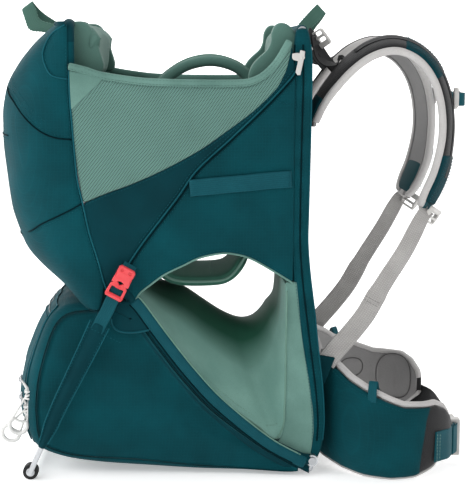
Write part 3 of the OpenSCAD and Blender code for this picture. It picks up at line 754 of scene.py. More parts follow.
# The near-black cords along the shoulder, low and cross seams of the rear panel are painted shade.
rear_cords, rear_shadow_cords, rear_rows = [], [], []
for side, s in SIDES:
    ear = [(-243, 690), (-262, 672), (-273, 655), (-277, 640), (-273, 624), (-263, 611), (-241, 606)]
    ear3 = [rear_side(x, min(z, 685), s, 2.2) for x, z in ear]
    rear_cords.append(tube("ear", ear3, 1.2, TEAL_PIPING, 60))
    rear_rows.append([rear_side(x + 3, min(z, 684), s, 1.4) for x, z in ear])
    shoulder = [(-342, 615), (-336, 590), (-321, 566), (-302, 545), (-283, 530), (-262, 521), (-237, 518)]
    rear_shadow_cords.append(tube("shoulder", [rear_side(x, z, s, 1.4) for x, z in shoulder], 1.2, TEAL_SEAM_SHADOW, 60))
    rear_rows.append([rear_side(x + 2, z + 4, s, 1.4) for x, z in shoulder])
    rear_rows.append([rear_side(x + 5, z + 9, s, 1.4) for x, z in shoulder[:5]])
    rear_rows.append([rear_side(x + 9, z + 14, s, 1.4) for x, z in shoulder[:5]])
    low = [(-223, 424), (-240, 414), (-262, 403), (-285, 391), (-303, 378), (-322, 366)]
    rear_shadow_cords.append(tube("low", [rear_side(x, z, s, 1.3) for x, z in low], 1.2, TEAL_SEAM_SHADOW, 60))
    rear_rows.append([rear_side(x, z - 5, s, 1.4) for x, z in low])
    edge3 = [rear_side(x - 3.5, z, s, 1.0) for x, z in SEAM[1:-1]]
    rear_rows.append(edge3)
cross = [rear_point(520, a, 1.6) for a in np.linspace(-37, 37, 21)]
cross_low = [rear_point(366, a, 1.6) for a in np.linspace(-24, 24, 21)]
rear_shadow_cords += [tube("cross", cross, 1.1, TEAL_SEAM_SHADOW, 60), tube("cross_low", cross_low, 1.1, TEAL_SEAM_SHADOW, 60)]
rear_rows += [[rear_point(515, a, 1.4) for a in np.linspace(-37, 37, 21)],
              [rear_point(361, a, 1.4) for a in np.linspace(-24, 24, 21)]]
piece(join("rear_seams", rear_cords), "rear_hoop")
piece(join("rear_shadow_cords", rear_shadow_cords), "rear_hoop")
piece(stitches("rear_stitches", rear_rows, TEAL_PIPING), "rear_hoop")
# Lower hem, tucked under towards the bag.
tuck = [[rear_point(262, a, -0.5) for a in ANGLES],
        [tuple(arr(rear_point(262, a, -6)) + (6, 0, -5)) for a in ANGLES],
        [tuple(arr(rear_point(262, a, -20)) + (12, 0, -4)) for a in ANGLES]]
tuck_cloth = sheet("rear_panel_tuck", tuck, TEAL_DARK, 1.8)
piece(tuck_cloth, "rear_hoop")
cloth(tuck_cloth, (0.032, 0.334), 0.0098, "folded", ["rear_hoop"])

# ------------------------------------------------------------------ cushions
def cushion_sweep(name, path, across, width, thick, material, power=0.75, ends=4, subdiv=1):
    """A padded strip: superellipse section, shrinking to rounded ends."""
    p = smooth(path, 44)
    w = np.broadcast_to(arr(width), (len(p),)) / 2
    t = np.broadcast_to(arr(thick), (len(p),)) / 2
    k = np.minimum(1, np.minimum(np.arange(len(p)), np.arange(len(p))[::-1]) / ends)
    k = np.sqrt(1 - (1 - k) ** 2) * 0.94 + 0.06
    sec = round_section(1, 1, 24, power)
    return sweep(name, p, sec, across, material, scale=np.stack([w * (0.3 + 0.7 * k), t * k], axis=1),
                 subdiv=subdiv)


head_plan = smooth([(-203, -129), (-208, -122), (-214, -108), (-221, -60), (-223, 0), (-221, 60),
                    (-214, 108), (-208, 122), (-203, 129)], 60)
HEAD_TOP = [(-226, 691), (-219, 690), (-211, 684), (-203, 671), (-195, 652), (-188, 632), (-180, 616)]
head_mid = [(x, y, (lookup(x, HEAD_TOP) + 600) / 2) for x, y in head_plan]
head_scale = [((lookup(x, HEAD_TOP) - 600) / 2 + 1, 11.5 if abs(y) < 110 else 9) for x, y in head_plan]
headrest = sweep("headrest_cushion", head_mid, round_section(1, 1, 26, 0.6), (0, 0, 1), SAGE_PAD,
                 scale=head_scale)
inflate(headrest, 5.0, 5.0)
piece(headrest, "rear_hoop", ["headrest"])
back_band = sweep("headrest_back_band", smooth([(x - 12.5, y * 1.07, 655) for x, y in head_plan[4:-4]], 50),
                  flat_section(70, 2.0), (0, 0, 1), SAGE)
piece(back_band, "rear_hoop")


def folded_loop(name, legs, spread, material, body, node):
    """A carry loop of webbing folded over on itself.

    Each leg is a left edge and a right edge, as lists of (X, Z) points.
    """
    rows = []
    for sign, (left, right) in zip((-1, 1), legs):
        n = len(left)
        for k, ((xa, za), (xb, zb)) in enumerate(zip(left, right)):
            f = k / (n - 1) if sign < 0 else 1 - k / (n - 1)
            y = sign * (spread * (1 - f) ** 0.7 + 1.6)
            bow = 2.0 * sign * (1 - f)
            rows.append([(xa + (xb - xa) * u, y + bow * math.sin(math.pi * u) + 3 * (u - 0.5) * f,
                          za + (zb - za) * u) for u in np.linspace(0, 1, 7)])
    cols = [smooth([r[c] for r in rows], 48) for c in range(7)]
    grid = np.stack(cols, axis=1)
    steps = np.concatenate([[0], np.cumsum(np.linalg.norm(np.diff(grid[:, 3], axis=0), axis=1))])
    run = np.stack([np.broadcast_to(steps[:, None], (48, 7)),
                    np.broadcast_to(np.linspace(-12, 12, 7), (48, 7)), np.zeros((48, 7))], axis=2)
    loop = make(name, grid.reshape(-1, 3), grid_faces(48, 7), material, run.reshape(-1, 3))
    modifier(loop, "SOLIDIFY", thickness=2.2 * MM, offset=0)
    modifier(loop, "SUBSURF", levels=1, render_levels=1)
    piece(loop, body, [node])
    edge = [[tuple(grid[k, c] + (0, -1.8, 0)) for k in range(1, 22)] for c in (0, 6)]
    edge += [[tuple(grid[2, c] + (0, -1.8, 0)) for c in range(1, 6)]]
    piece(stitches(name + "_stitches", edge, SAGE_BAND), body)


REAR_LOOP = (([(-279.4, 672.9), (-294.4, 675.4), (-314.4, 678.5), (-321.6, 694), (-326.8, 708.9)],
              [(-263.5, 684.1), (-279.7, 688.5), (-297.8, 694.6), (-303.7, 708.9), (-309.3, 722.7)]),
             ([(-326.2, 709.5), (-319.6, 699), (-306.7, 685.4), (-283.2, 673.6)],
              [(-309, 722.1), (-302.3, 713.2), (-290.1, 702.1), (-264.1, 685.4)]))
FRONT_LOOP = (([(100.1, 678), (109.5, 690.5), (122.6, 704.8), (135.2, 718.1)],
               [(121, 675.5), (127.3, 681.8), (138.6, 692.4), (150.5, 702.9)]),
              ([(135.8, 717.5), (128.3, 703.6), (124.7, 690.5), (121.6, 678)],
               [(149.9, 701.7), (144.3, 693), (137.4, 684.3), (131.8, 676.5)]))
folded_loop("rear_grab_loop", REAR_LOOP, 9, SAGE_WEB, "rear_hoop", "handle_rear")
folded_loop("front_grab_loop", FRONT_LOOP, 7, SAGE_WEB, "frame", "handle_front")



def slab(name, outline, y0, y1, material, steps=8, count=56, round_over=0.24):
    """A pad with a side outline (X, Z) between two Y planes, its faces rounded over."""
    loop = smooth(outline, count, closed=True)
    mid = loop.mean(axis=0)
    rings = []
    for k in range(steps + 1):
        a = math.pi * k / steps
        y = (y0 + y1) / 2 - (y1 - y0) / 2 * math.cos(a)
        grow = 1 - round_over + round_over * math.sin(a) ** 0.5
        rings.append([(mid[0] + (x - mid[0]) * grow, y, mid[1] + (z - mid[1]) * grow) for x, z in loop])
    g = arr(rings)
    faces = grid_faces(len(rings), count, False, True)
    faces += [tuple(range(count))[::-1], tuple(steps * count + i for i in range(count))]
    obj = make(name, g.reshape(-1, 3), faces, material)
    modifier(obj, "SUBSURF", levels=1, render_levels=1)
    return obj


HEAD_WING = [(-242, 680), (-239.5, 685), (-234, 689.5), (-218.5, 689.4), (-209, 681.5), (-201.3, 665.4),
             (-195, 644.4), (-189.7, 623), (-197, 612), (-220.5, 614), (-242, 618), (-243.2, 651)]
for side, s in SIDES:
    wing = slab(f"{side}_headrest_wing", HEAD_WING, s * 112, s * 138, SAGE_PAD, round_over=0.1)
    piece(wing, "rear_hoop")
    upright = [(-240, s * 156, 560), (-240, s * 156, 612), (-240, s * 156, 668)]
    piece(tube(f"{side}_hoop_top_cover", upright, 8.4, TEAL, 30, sides=14), "rear_hoop")
    cap = [(-240, s * 156, 660), (-240, s * 156, 676), (-240.2, s * 151, 682), (-240.5, s * 140, 684.5),
           (-241, s * 120, 685)]
    piece(tube(f"{side}_hoop_corner_cover", cap, 8.8, TEAL_DARK, 40, sides=14), "rear_hoop")
    lower = [(-147, s * 157.5, 272), (-158, s * 157.5, 288), (-176, s * 157.5, 306), (-190, s * 157, 320),
             (-198, s * 156.5, 342)]
    if s < 0:
        cross = [(-241, y, 676 + 0.5 * math.sin(y * 0.1)) for y in range(-132, 133, 12)]
        piece(tube("hoop_cross_cover", cross, 8.8, TEAL, 60, sides=14), "rear_hoop")
    piece(tube(f"{side}_hoop_bend_cover", lower, 9.6, TEAL_DARK, 40, sides=14), "rear_hoop")

# ------------------------------------------------------------- storage bag
BAG = [(100, 8), (27, 6), (-50, 7), (-127, 12), (-204, 18), (-262, 26), (-300, 36), (-322, 46), (-334, 62),
       (-338, 88), (-338.5, 113), (-333, 150), (-322, 182), (-310, 210), (-297, 235), (-282, 253),
       (-261, 264),
       (-234, 268), (-204, 267), (-170, 262), (-145, 246), (-113, 203), (-75, 153), (-29, 103), (42, 48),
       (84, 22)]
BAG_N = 132
bag_loop = smooth(BAG, BAG_N, closed=True)
BAG_MID = arr((-150, 110))


ARM = smooth([(112, 22), (97, 29), (49, 57), (-20, 115), (-65, 165), (-103, 215), (-138, 264), (-150, 276)],
             60)


def arm_share(x, z):
    """1 beside the hoop's arm, where the bag is sewn to it, falling to 0 away from it."""
    d = np.min(np.hypot(ARM[:, 0] - x, ARM[:, 1] - z))
    return math.exp(-(max(0, d - 8) / 40) ** 2)


def bag_point(q, y, inset=0.0, out=0.0):
    """A place on the bag's surface, from a point of its side outline and a Y."""
    x, z = q
    near = arm_share(x, z)
    inset *= 1 - near
    d = unit(BAG_MID - arr(q))
    x, z = x + d[0] * inset, z + d[1] * inset
    back = 49 - math.sqrt(387 ** 2 - y * y) + 338.5
    share = min(max((-150 - x) / 188, 0), 1) ** 2.2
    x += back * share
    w = max(0, 1 - (y / 150) ** 2)
    folds = (1.4 * math.sin(0.05 * y + 0.045 * z) + 0.8 * math.sin(0.11 * y - 0.02 * x)) * w
    sag = (4.0 * math.sin(math.pi * min(max((x + 300) / 380, 0), 1)) * w) if z < 60 else 0.0
    n = -unit(arr((x, z)) - BAG_MID)
    wide = 12.5 * near * max(0, (abs(y) - 124) / 25.5)
    return (x - n[0] * (folds + out), y + math.copysign(wide, y),
            max(z - n[1] * (folds * 0.6 + out) - 0.35 * sag, 1.2))


YS = np.concatenate([[-149.5, -148, -144, -138, -131, -124], np.linspace(-118, 118, 31),
                     [124, 131, 138, 144, 148, 149.5]])


def bag_inset(y):
    """How far the bag's side outline shrinks towards its ends in Y, in mm."""
    over = max(0, abs(y) - 131) / 19.5
    return 17 * (1 - math.sqrt(max(0, 1 - over * over)))


bag_rows = [[bag_point(q, y, bag_inset(y)) for y in YS] for q in bag_loop]
door_rows = [i for i, q in enumerate(bag_loop) if q[0] < -262 and 50 < q[1] < 246]
d0, d1 = door_rows[0] - 1, door_rows[-1] + 1
# Rows d0 to d1 and columns j0 to j1 of the bag's grid are the door, and the rest is the body.
cols = len(YS)
j0, j1 = 6, cols - 7
verts = [p for row in bag_rows for p in row]
body_faces, door_faces = [], []
for i in range(BAG_N):
    for j in range(cols - 1):
        f = (i * cols + j, i * cols + j + 1, ((i + 1) % BAG_N) * cols + j + 1, ((i + 1) % BAG_N) * cols + j)
        (door_faces if d0 <= i < d1 and j0 <= j < j1 else body_faces).append(f)


def side_cap(y, s):
    """Rings closing one side of the bag, billowing a little."""
    rings = []
    for k, inward in enumerate((0.10, 0.24, 0.42, 0.6, 0.78, 0.93)):
        ring = []
        for q in bag_loop:
            p = arr(bag_point(q, y, bag_inset(y)))
            c = arr((BAG_MID[0], y, BAG_MID[1]))
            c[1] = y + s * 12.5 * arm_share(p[0], p[2]) * (1 - inward) ** 1.5
            r = p + (c - p) * inward
            r[1] = y + s * 12.5 * arm_share(r[0], r[2])
            swell = 7.5 * (1 - (1 - inward) ** 3)
            crease = 1.6 * math.sin(0.035 * r[0] + 0.05 * r[2]) * inward
            ring.append((r[0], y + s * (swell + crease), r[2]))
        rings.append(ring)
    return rings


base = len(verts)
for y, s, j in ((YS[0], -1, 0), (YS[-1], 1, cols - 1)):
    rings = side_cap(y, s)
    previous = [i * cols + j for i in range(BAG_N)]
    for ring in rings:
        start = len(verts)
        verts += ring
        now = list(range(start, start + BAG_N))
        for i in range(BAG_N):
            k = (i + 1) % BAG_N
            f = (previous[i], now[i], now[k], previous[k])
            body_faces.append(f if s < 0 else f[::-1])
        previous = now
    verts.append((BAG_MID[0], y + s * 7.5, BAG_MID[1]))
    for i in range(BAG_N):
        f = (previous[i], len(verts) - 1, previous[(i + 1) % BAG_N])
        body_faces.append(f if s < 0 else f[::-1])


def part_of(name, faces, material, thick):
    """A cloth piece made of some faces of the bag's grid."""
    used = sorted({i for f in faces for i in f})
    index = {v: k for k, v in enumerate(used)}
    obj = make(name, [verts[i] for i in used], [tuple(index[i] for i in f) for f in faces], material)
    modifier(obj, "SOLIDIFY", thickness=thick * MM, offset=0)
    modifier(obj, "SUBSURF", levels=1, render_levels=1)
    return obj


def crumple(obj):
    """Gives the bag, or a piece sewn to it, a mesh of its own."""
    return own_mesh(obj)


bag = part_of("storage_bag_shell", body_faces, TEAL, 2.4)
piece(crumple(bag), "rear_hoop", ["base_bag"])
door = part_of("storage_bag_door", door_faces, TEAL, 2.4)
piece(crumple(door), "bag_door", ["bag_door"])


def bag_edge(i, j, out=0.0):
    """A place on the bag's surface, from a row and a column of its grid."""
    q, y = bag_loop[i % BAG_N], YS[j]
    return bag_point(q, y, bag_inset(y), out)


# Zip around the door: tape, teeth and the two raised folds beside it.
track = ([bag_edge(i, j0, 1.2) for i in range(d0 + 2, d1 + 1)]
         + [bag_edge(d1, j, 1.2) for j in range(j0 + 1, j1)]
         + [bag_edge(i, j1, 1.2) for i in range(d1, d0 + 1, -1)])
offset_a = ([bag_point(bag_loop[i], YS[j0] - 6, bag_inset(YS[j0] - 6), 2.2) for i in range(d0 + 1, d1 + 2)]
            + [bag_point(bag_loop[d1 + 2], YS[j], 0, 2.2) for j in range(j0, j1 + 1)]
            + [bag_point(bag_loop[i], YS[j1] + 6, bag_inset(YS[j1] + 6), 2.2)
                for i in range(d1 + 1, d0, -1)])
piece(crumple(tube("zip_coil", track, 1.2, TEETH, 200)), "rear_hoop", ["zip_track"])
fold = sweep("zip_garage_fold", smooth(offset_a, 160), round_section(1.5, 1.1, 8), (0, 1, 0.2), TEAL_PIPING)
piece(crumple(fold), "rear_hoop")
door_edge = ([bag_point(bag_loop[i], YS[j0] + 5, 0, 1.8) for i in range(d0 + 1, d1)]
             + [bag_point(bag_loop[d1 - 1], YS[j], 0, 1.8) for j in range(j0 + 1, j1)]
             + [bag_point(bag_loop[i], YS[j1] - 5, 0, 1.8) for i in range(d1 - 1, d0, -1)])
piece(crumple(sweep("door_edge_fold", smooth(door_edge, 150), round_section(1.4, 0.9, 8), (0, 1, 0.2),
                    TEAL_PIPING)), "bag_door")
hem = [bag_point(bag_loop[d0], y, 0, 1.0) for y in np.linspace(-117, 117, 17)]
piece(crumple(tube("door_hem", hem, 2.4, TEAL_DARK, 40)), "bag_door")

# ---------------------------------------------------------------- leg well
WELL_EDGE = [(-146, 270), (-120, 236), (-92, 200), (-48, 150), (-4, 108), (40, 75), (72, 55), (80, 110),
             (81, 200), (82, 298)]
WELL_RIDGE = [(-143, 288), (-113.7, 276), (-78.8, 267), (-46.7, 247), (-20.5, 231), (1.7, 221), (20, 217),
              (36, 220), (50, 231), (58, 242), (67, 250), (72, 262), (76, 298)]
edge2, ridge2 = smooth(WELL_EDGE, 56), smooth(WELL_RIDGE, 56)


def well_point(i, v, drop=0.0):
    """v runs from -1 on the right to 1 on the left."""
    r, e = ridge2[i], edge2[i]
    k = abs(v) ** 1.9
    p = r + (e - r) * k
    fold = 2.4 * math.sin(9 * v + 0.12 * i) * math.sin(math.pi * i / 55) * (1 - v * v)
    return (p[0], v * (146 + 9 * abs(v) ** 6), p[1] + fold - drop)


well_grid = [[well_point(i, v) for v in np.linspace(-1, 1, 57)] for i in range(56)]
well = sheet("leg_well_saddle", well_grid, SAGE_WELL, 1.8)
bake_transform(well)
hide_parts("leg_well")
piece(well)
cloth(well, (0.56, 0.36), 0.1295, "hung", ["front_frame", "rear_hoop"])
for side, s in SIDES:
    hem = tube(f"{side}_well_hem", [well_point(i, s * 0.995) for i in range(0, 56, 3)], 1.5, SAGE_BAND, 80)
    piece(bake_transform(hem))
    rows = [[tuple(arr(well_point(i, s * 0.95)) + (0, s * 0.8, 0.8)) for i in range(2, 54, 3)],
            [tuple(arr(well_point(i, s * 0.62)) + (0, s * 0.5, 0.8)) for i in range(30, 54, 3)]]
    piece(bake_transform(stitches(f"{side}_well_stitches", rows, SAGE_BAND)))

# ----------------------------------------------------- bands over the arms
# Path of the casing on the hoop's lower arm, under the band.
CASING = [(119, 25), (100, 29), (49, 57), (-20, 115), (-65, 165), (-103, 215), (-138, 264), (-150, 280)]
CASING_Y = 156.4
BAND = [(112, 22), (97, 29), (49, 57), (-20, 115), (-65, 165), (-103, 215), (-138, 264), (-149, 277)]
for side, s in SIDES:
    path = smooth([(x, s * 164.5, z) for x, z in BAND], 70)
    profile = [(-9, -1.5), (-8, -3), (8, -3), (9, -1.5), (9, 0.3), (7.4, 1.4), (4, 2.5), (0, 2.9), (-4, 2.5),
               (-7.4, 1.4), (-9, 0.3)]
    arm = [(x, s * CASING_Y, z) for x, z in CASING]
    piece(tube(f"{side}_hoop_arm_casing", arm, 8.6, TEAL_DARK, 90, sides=14), "rear_hoop")
    apron_rows = [[(x - 0.7 * k, s * (163.6 - 0.3 * k), z - 0.7 * k) for x, _, z in path]
        for k in (4, 10, 17, 24)]
    apron = sheet(f"{side}_band_apron", apron_rows, TEAL_DARK, 1.4)
    piece(apron, "rear_hoop")
    cloth(apron, (0.022, 0.373), 0.0074, "stretched", [f"{side}_arm_band"])
    band = sweep(f"{side}_arm_band", path, [(a, b * (1 if s < 0 else -1)) for a, b in profile],
                 (0.7, 0, 0.7), TEAL_BAND, subdiv=1)
    piece(band, "rear_hoop", ["diagonal_bands"] if s < 0 else [])
    top = [(x + 6.6, s * 166.2, z + 6.8) for x, z in BAND[1:]]
    low = [(x - 6.2, s * 166.2, z - 6.4) for x, z in BAND[1:]]
    piece(tube(f"{side}_band_piping", top, 1.1, SAGE_BAND, 80), "rear_hoop")
    rows = [[(x + 4.4, s * 167.2, z + 4.6) for x, z in BAND],
            [(x - 4.6, s * 167.2, z - 4.8) for x, z in BAND],
            [(100 + k, s * 167.6, 40 - 2.6 * k) for k in (0, 2, 4, 6, 8)]]
    piece(stitches(f"{side}_band_stitches", rows, TEAL_PIPING), "rear_hoop")
    # A near-black cord along the band's lower edge: painted shade between the band and the bag.
    piece(tube(f"{side}_band_shadow_cord", low, 1.4, TEAL_SEAM_SHADOW, 80), "rear_hoop")
    # Rounded flap that covers the kickstand's pivot, with a piped edge.
    flap = [(-178, 262), (-183, 250), (-181, 239), (-172, 231), (-157, 228), (-136, 230), (-124, 236),
            (-135, 262), (-150, 274), (-168, 275)]
    loop = smooth(flap, 48, closed=True)
    mid = loop.mean(axis=0)
    rings = []
    for k in (1.0, 0.86, 0.6, 0.3, 0.04):
        rings.append([(mid[0] + (x - mid[0]) * k, s * (165.2 + 1.8 * (1 - k * k)), mid[1] + (z - mid[1]) * k)
                      for x, z in loop] )
    rings = [r + [r[0]] for r in rings]
    pivot_flap = sheet(f"{side}_pivot_flap", rings, TEAL_DARK, 1.6)
    piece(pivot_flap, "rear_hoop")
    cloth(pivot_flap, (0.058, 0.048), 0.0021, "stretched", [f"{side}_arm_band"])
    edge = [(x, s * 165.8, z) for x, z in smooth(flap[1:8], 20)]
    piece(tube(f"{side}_flap_piping", edge, 1.9, TEAL_BAND, 60), "rear_hoop")

# ------------------------------------------------------------------ buckles
TILT = math.radians(28.5)
for side, s in SIDES:
    axes = ((math.cos(TILT), 0, -math.sin(TILT)), (math.sin(TILT), 0, math.cos(TILT)), (0, s, 0))
    origin = (-168, s * 177, 305)
    socket = [(-13.5, 0), (-13.5, 6), (-11.2, 10), (-11.2, 13), (-13.2, 16), (-13.2, 24), (-10.5, 27),
              (10.5, 27),
              (13.2, 24), (13.2, 16), (11.2, 13), (11.2, 10), (13.5, 6), (13.5, 0), (8, 0), (5, 3.5), (0, 5),
              (-5, 3.5), (-8, 0)]
    top = solid("buckle_top", socket, [circle(2.3, -6.5, 21.5), circle(2.3, 6.5, 21.5)], 3.4, RED_PLASTIC,
                origin, axes, 0.9, 9.6)
    low = solid("buckle_low", socket, [circle(2.3, -6.5, 21.5), circle(2.3, 6.5, 21.5)], 3.4, RED_PLASTIC,
                origin, axes, 0.9, 2.4)
    core = solid("buckle_core", rounded(20, 12, 3, 0, 19), [], 7, RED_PLASTIC, origin, axes, 1.0, 6)
    ribs = [solid("buckle_rib", rounded(2.4, 11, 1, x, 8.5), [], 6, RED_PLASTIC, origin, axes, 0.7, 6)
            for x in (-12, 12)]
    piece(join(f"{side}_buckle_socket", [top, low, core] + ribs), "rear_hoop",
          ["side_sockets"] if s < 0 else [])
    plug = [(-9.5, 1), (-9, 14), (-5.5, 14), (-5.2, 3), (0, -1.5), (5.2, 3), (5.5, 14), (9, 14),
            (9.5, 1), (13.6, -4), (14.2, -20.5), (12.2, -23.5), (-12.2, -23.5), (-14.2, -20.5), (-13.6, -4)]
    slot = rounded(19.4, 10.6, 1.5, 0, -11.5)
    fork = solid("plug_fork", plug, [slot], 6.4, RED_PLASTIC, origin, axes, 1.3, 6)
    bar = solid("plug_bar", rounded(25, 4.4, 2, 0, -20), [], 8.6, RED_PLASTIC, origin, axes, 1.6, 6)
    ridges = [solid("plug_ridge", rounded(9, 1.1, 0.5, 0, y), [], 7.6, RED_PLASTIC, origin, axes, 0.4, 6)
              for y in (-4, -6)]
    body = f"side_plug_{side}"
    piece(join(f"{side}_buckle_plug", [fork, bar] + ridges), body, [f"side_plug_{side}"])
    web = [(-170.5, s * 179.5, 300.5), (-174.5, s * 180.5, 292), (-180, s * 182.5, 281),
           (-188, s * 181.4, 264), (-196, s * 179.6, 249), (-204, s * 178.6, 234)]
    strap = ribbon(f"{side}_buckle_webbing", web, 20, 1.8, (math.cos(TILT), 0, -math.sin(TILT)), TEAL_BAND,
                   24)
    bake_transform(strap)
    if s < 0:
        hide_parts("side_webbing")
    piece(strap)
    anchor = ribbon(f"{side}_buckle_anchor", [(-152, s * 172.5, 333), (-156, s * 175, 326),
                                              (-160, s * 178, 318)],
                    20, 1.8, (math.cos(TILT), 0, -math.sin(TILT)), TEAL_BAND, 12)
    piece(anchor, "rear_hoop")

# --------------------------------------------------------------- kickstand
for side, s in SIDES:
    sleeve = [(-199, s * 178.2, 244), (-214, s * 178.2, 213), (-238, s * 178, 165), (-262, s * 177.6, 117),
              (-281, s * 177, 74), (-291, s * 176, 52)]
    path = smooth(sleeve, 60)
    profile = [(-12.5, -1.0), (-12.5, 0.6), (-10.5, 1.6), (-8.6, 0.6), (-6.2, 1.6), (-2.5, 3.4), (1.5, 3.6),
               (5.2, 1.8), (7.6, 0.5), (10.4, 1.7), (12.5, 0.6), (12.5, -1.0)]
    narrow = np.stack([np.interp(np.linspace(0, 1, 60), [0, 0.3, 0.82, 1], [1.25, 1.12, 0.86, 0.42]),
                       np.ones(60)], axis=1)
    cover = sweep(f"{side}_kickstand_sleeve", path, [(a, b * (1 if s < 0 else -1)) for a, b in profile],
                  (0.9, 0, -0.44), TEAL_DARK, scale=narrow, subdiv=1)
    piece(cover, "kickstand", ["kick_sleeves"] if s < 0 else [])
    rows = []
    for a in (-10.4, 10.2):
        rows.append([(x + a * 0.9 * k, y + s * 1.9, z - a * 0.44 * k) for (x, y, z), k in
                     zip(path[::6], narrow[::6, 0])])
    rows += [[(-211 + 2.2 * k * 5, s * 181.4, 237 - 1.1 * k * 5) for k in range(5)]]
    piece(stitches(f"{side}_sleeve_stitches", rows, TEAL_PIPING), "kickstand")
    cords = [tube("ridge", [(x + a * 0.9 * k, y + s * 1.2, z - a * 0.44 * k) for (x, y, z), k in
                            zip(path[::4], narrow[::4, 0])], 1.0, TEAL_PIPING, 50) for a in (-12.2, 12.2)]
    piece(join(f"{side}_sleeve_piping", cords), "kickstand")
    ring = [(-309 + 7.6 * math.cos(t), s * 168.6, 11.5 + 7.6 * math.sin(t)) for t in np.linspace(0, 6.0, 24)]
    tread = [sweep("tread", smooth([(-309 + 11.2 * math.cos(t), s * y, 11.5 + 11.2 * math.sin(t))
                                    for t in np.linspace(0, 2 * math.pi, 28, endpoint=False)],
                                        56, closed=True),
                   round_section(0.9, 0.5, 6), (0, 1, 0), RUBBER, closed=True) for y in (155, 160, 165)]
    piece(join(f"{side}_foot_tread", tread), "kickstand")
    hub = sweep(f"{side}_foot_hub", smooth([(-309 + 5.2 * math.cos(t), s * 168.2, 11.5 + 5.2 * math.sin(t))
                                            for t in np.linspace(0, 2 * math.pi, 20, endpoint=False)], 40,
                                           closed=True), round_section(1.1, 1.4, 8), (0, 1, 0), ALUMINIUM,
                closed=True)
    piece(hub, "kickstand")

# ------------------------------------------------------------- zip pulls
CORD_R = 1.6
ZIPS = (("upper", 146, (-310.5, -127, 125.8), (-330.2, -128, 75.7), 0.5),
        ("lower", 118, (-313.3, -122, 100.5), (-342.8, -121, 61.5), 0.75))
for which, z, knot, ring, lean in ZIPS:
    body = f"zip_{which}"
    x = -324
    plate = [(-4.6, -7), (4.6, -7), (5.2, -2), (4.2, 6.5), (2, 7.5), (-2, 7.5), (-4.2, 6.5), (-5.2, -2)]
    slider = solid("slider", plate, [], 2.0, STEEL, (x - 1.5, -122, z), ((0, 1, 0), (0, 0, 1), (1, 0, 0)),
                   0.6, 0)
    bridge = solid("bridge", [(0, -5), (-3.5, -4), (-4.4, 0), (-3.5, 4), (0, 5), (-1.6, 3), (-2.4,
        0), (-1.6, -3)],
                   [], 2.6, STEEL, (x - 1.8, -122, z), ((1, 0, 0), (0, 0, 1), (0, 1, 0)), 0.4, 0)
    piece(crumple(join(f"zip_{which}_slider", [slider, bridge])), body, [f"zip_slider_{which}"])
    knot, ring = arr(knot) + (-3, -6, 0), arr(ring) + (0, -4, 0)
    turns = [sweep("knot", smooth([tuple(knot + (4.6 * math.cos(t), 4.2 * math.sin(t),
                                                 dz + 2.2 * math.sin(t + ph)))
                                   for t in np.linspace(0, 2 * math.pi, 14, endpoint=False)],
                                       28, closed=True),
                   round_section(1.7, 1.7, 8), (0, 0, 1), CORD, closed=True)
             for dz, ph in ((-5.4, 0), (-1.8, 1.3), (1.8, 3.2), (5.2, 0.4))]
    down = unit(ring - knot)
    wide = arr((-down[2], 0, down[0]))
    bow = [ring + wide * (13.5 * math.sin(t)) + down * (13.5 * math.cos(t))
        for t in np.linspace(-2.1, 2.1, 15)]
    leg_one = [(x - 3, -120, z + 1), knot - wide * 2 + (0, 0, 5), knot - wide * 2,
               knot + down * 9 - wide * 3.4]
    leg_two = [knot + down * 9 + wide * 3.4, knot + wide * 2, knot + wide * 2 + (0, 0, 5),
               (x - 3, -124, z + 1)]
    run = smooth([tuple(arr(p)) for p in leg_one + bow + leg_two], 72)
    loop = tube(f"zip_{which}_pull_cord", run, CORD_R, CORD, 72, sides=10)
    d_ring = smooth([ring + wide * (13.5 * math.sin(t)) + down * (13.5 * math.cos(t))
                     for t in np.linspace(-2.3, 2.3, 18)], 60)
    grip = [sweep("grip", d_ring, round_section(3.1, 2.9, 10), (0, 1, 0), CORD),
            tube("bar", [ring + wide * 10 - down * 8.6, ring - down * 6.5, ring - wide * 10 - down * 8.6],
                 2.2, CORD, 20, across=(0, 1, 0))]
    holder = piece(crumple(join(f"zip_{which}_pull", turns + grip)), body,
                   [f"zip_pull_{which}"])
    piece(crumple(loop), body)

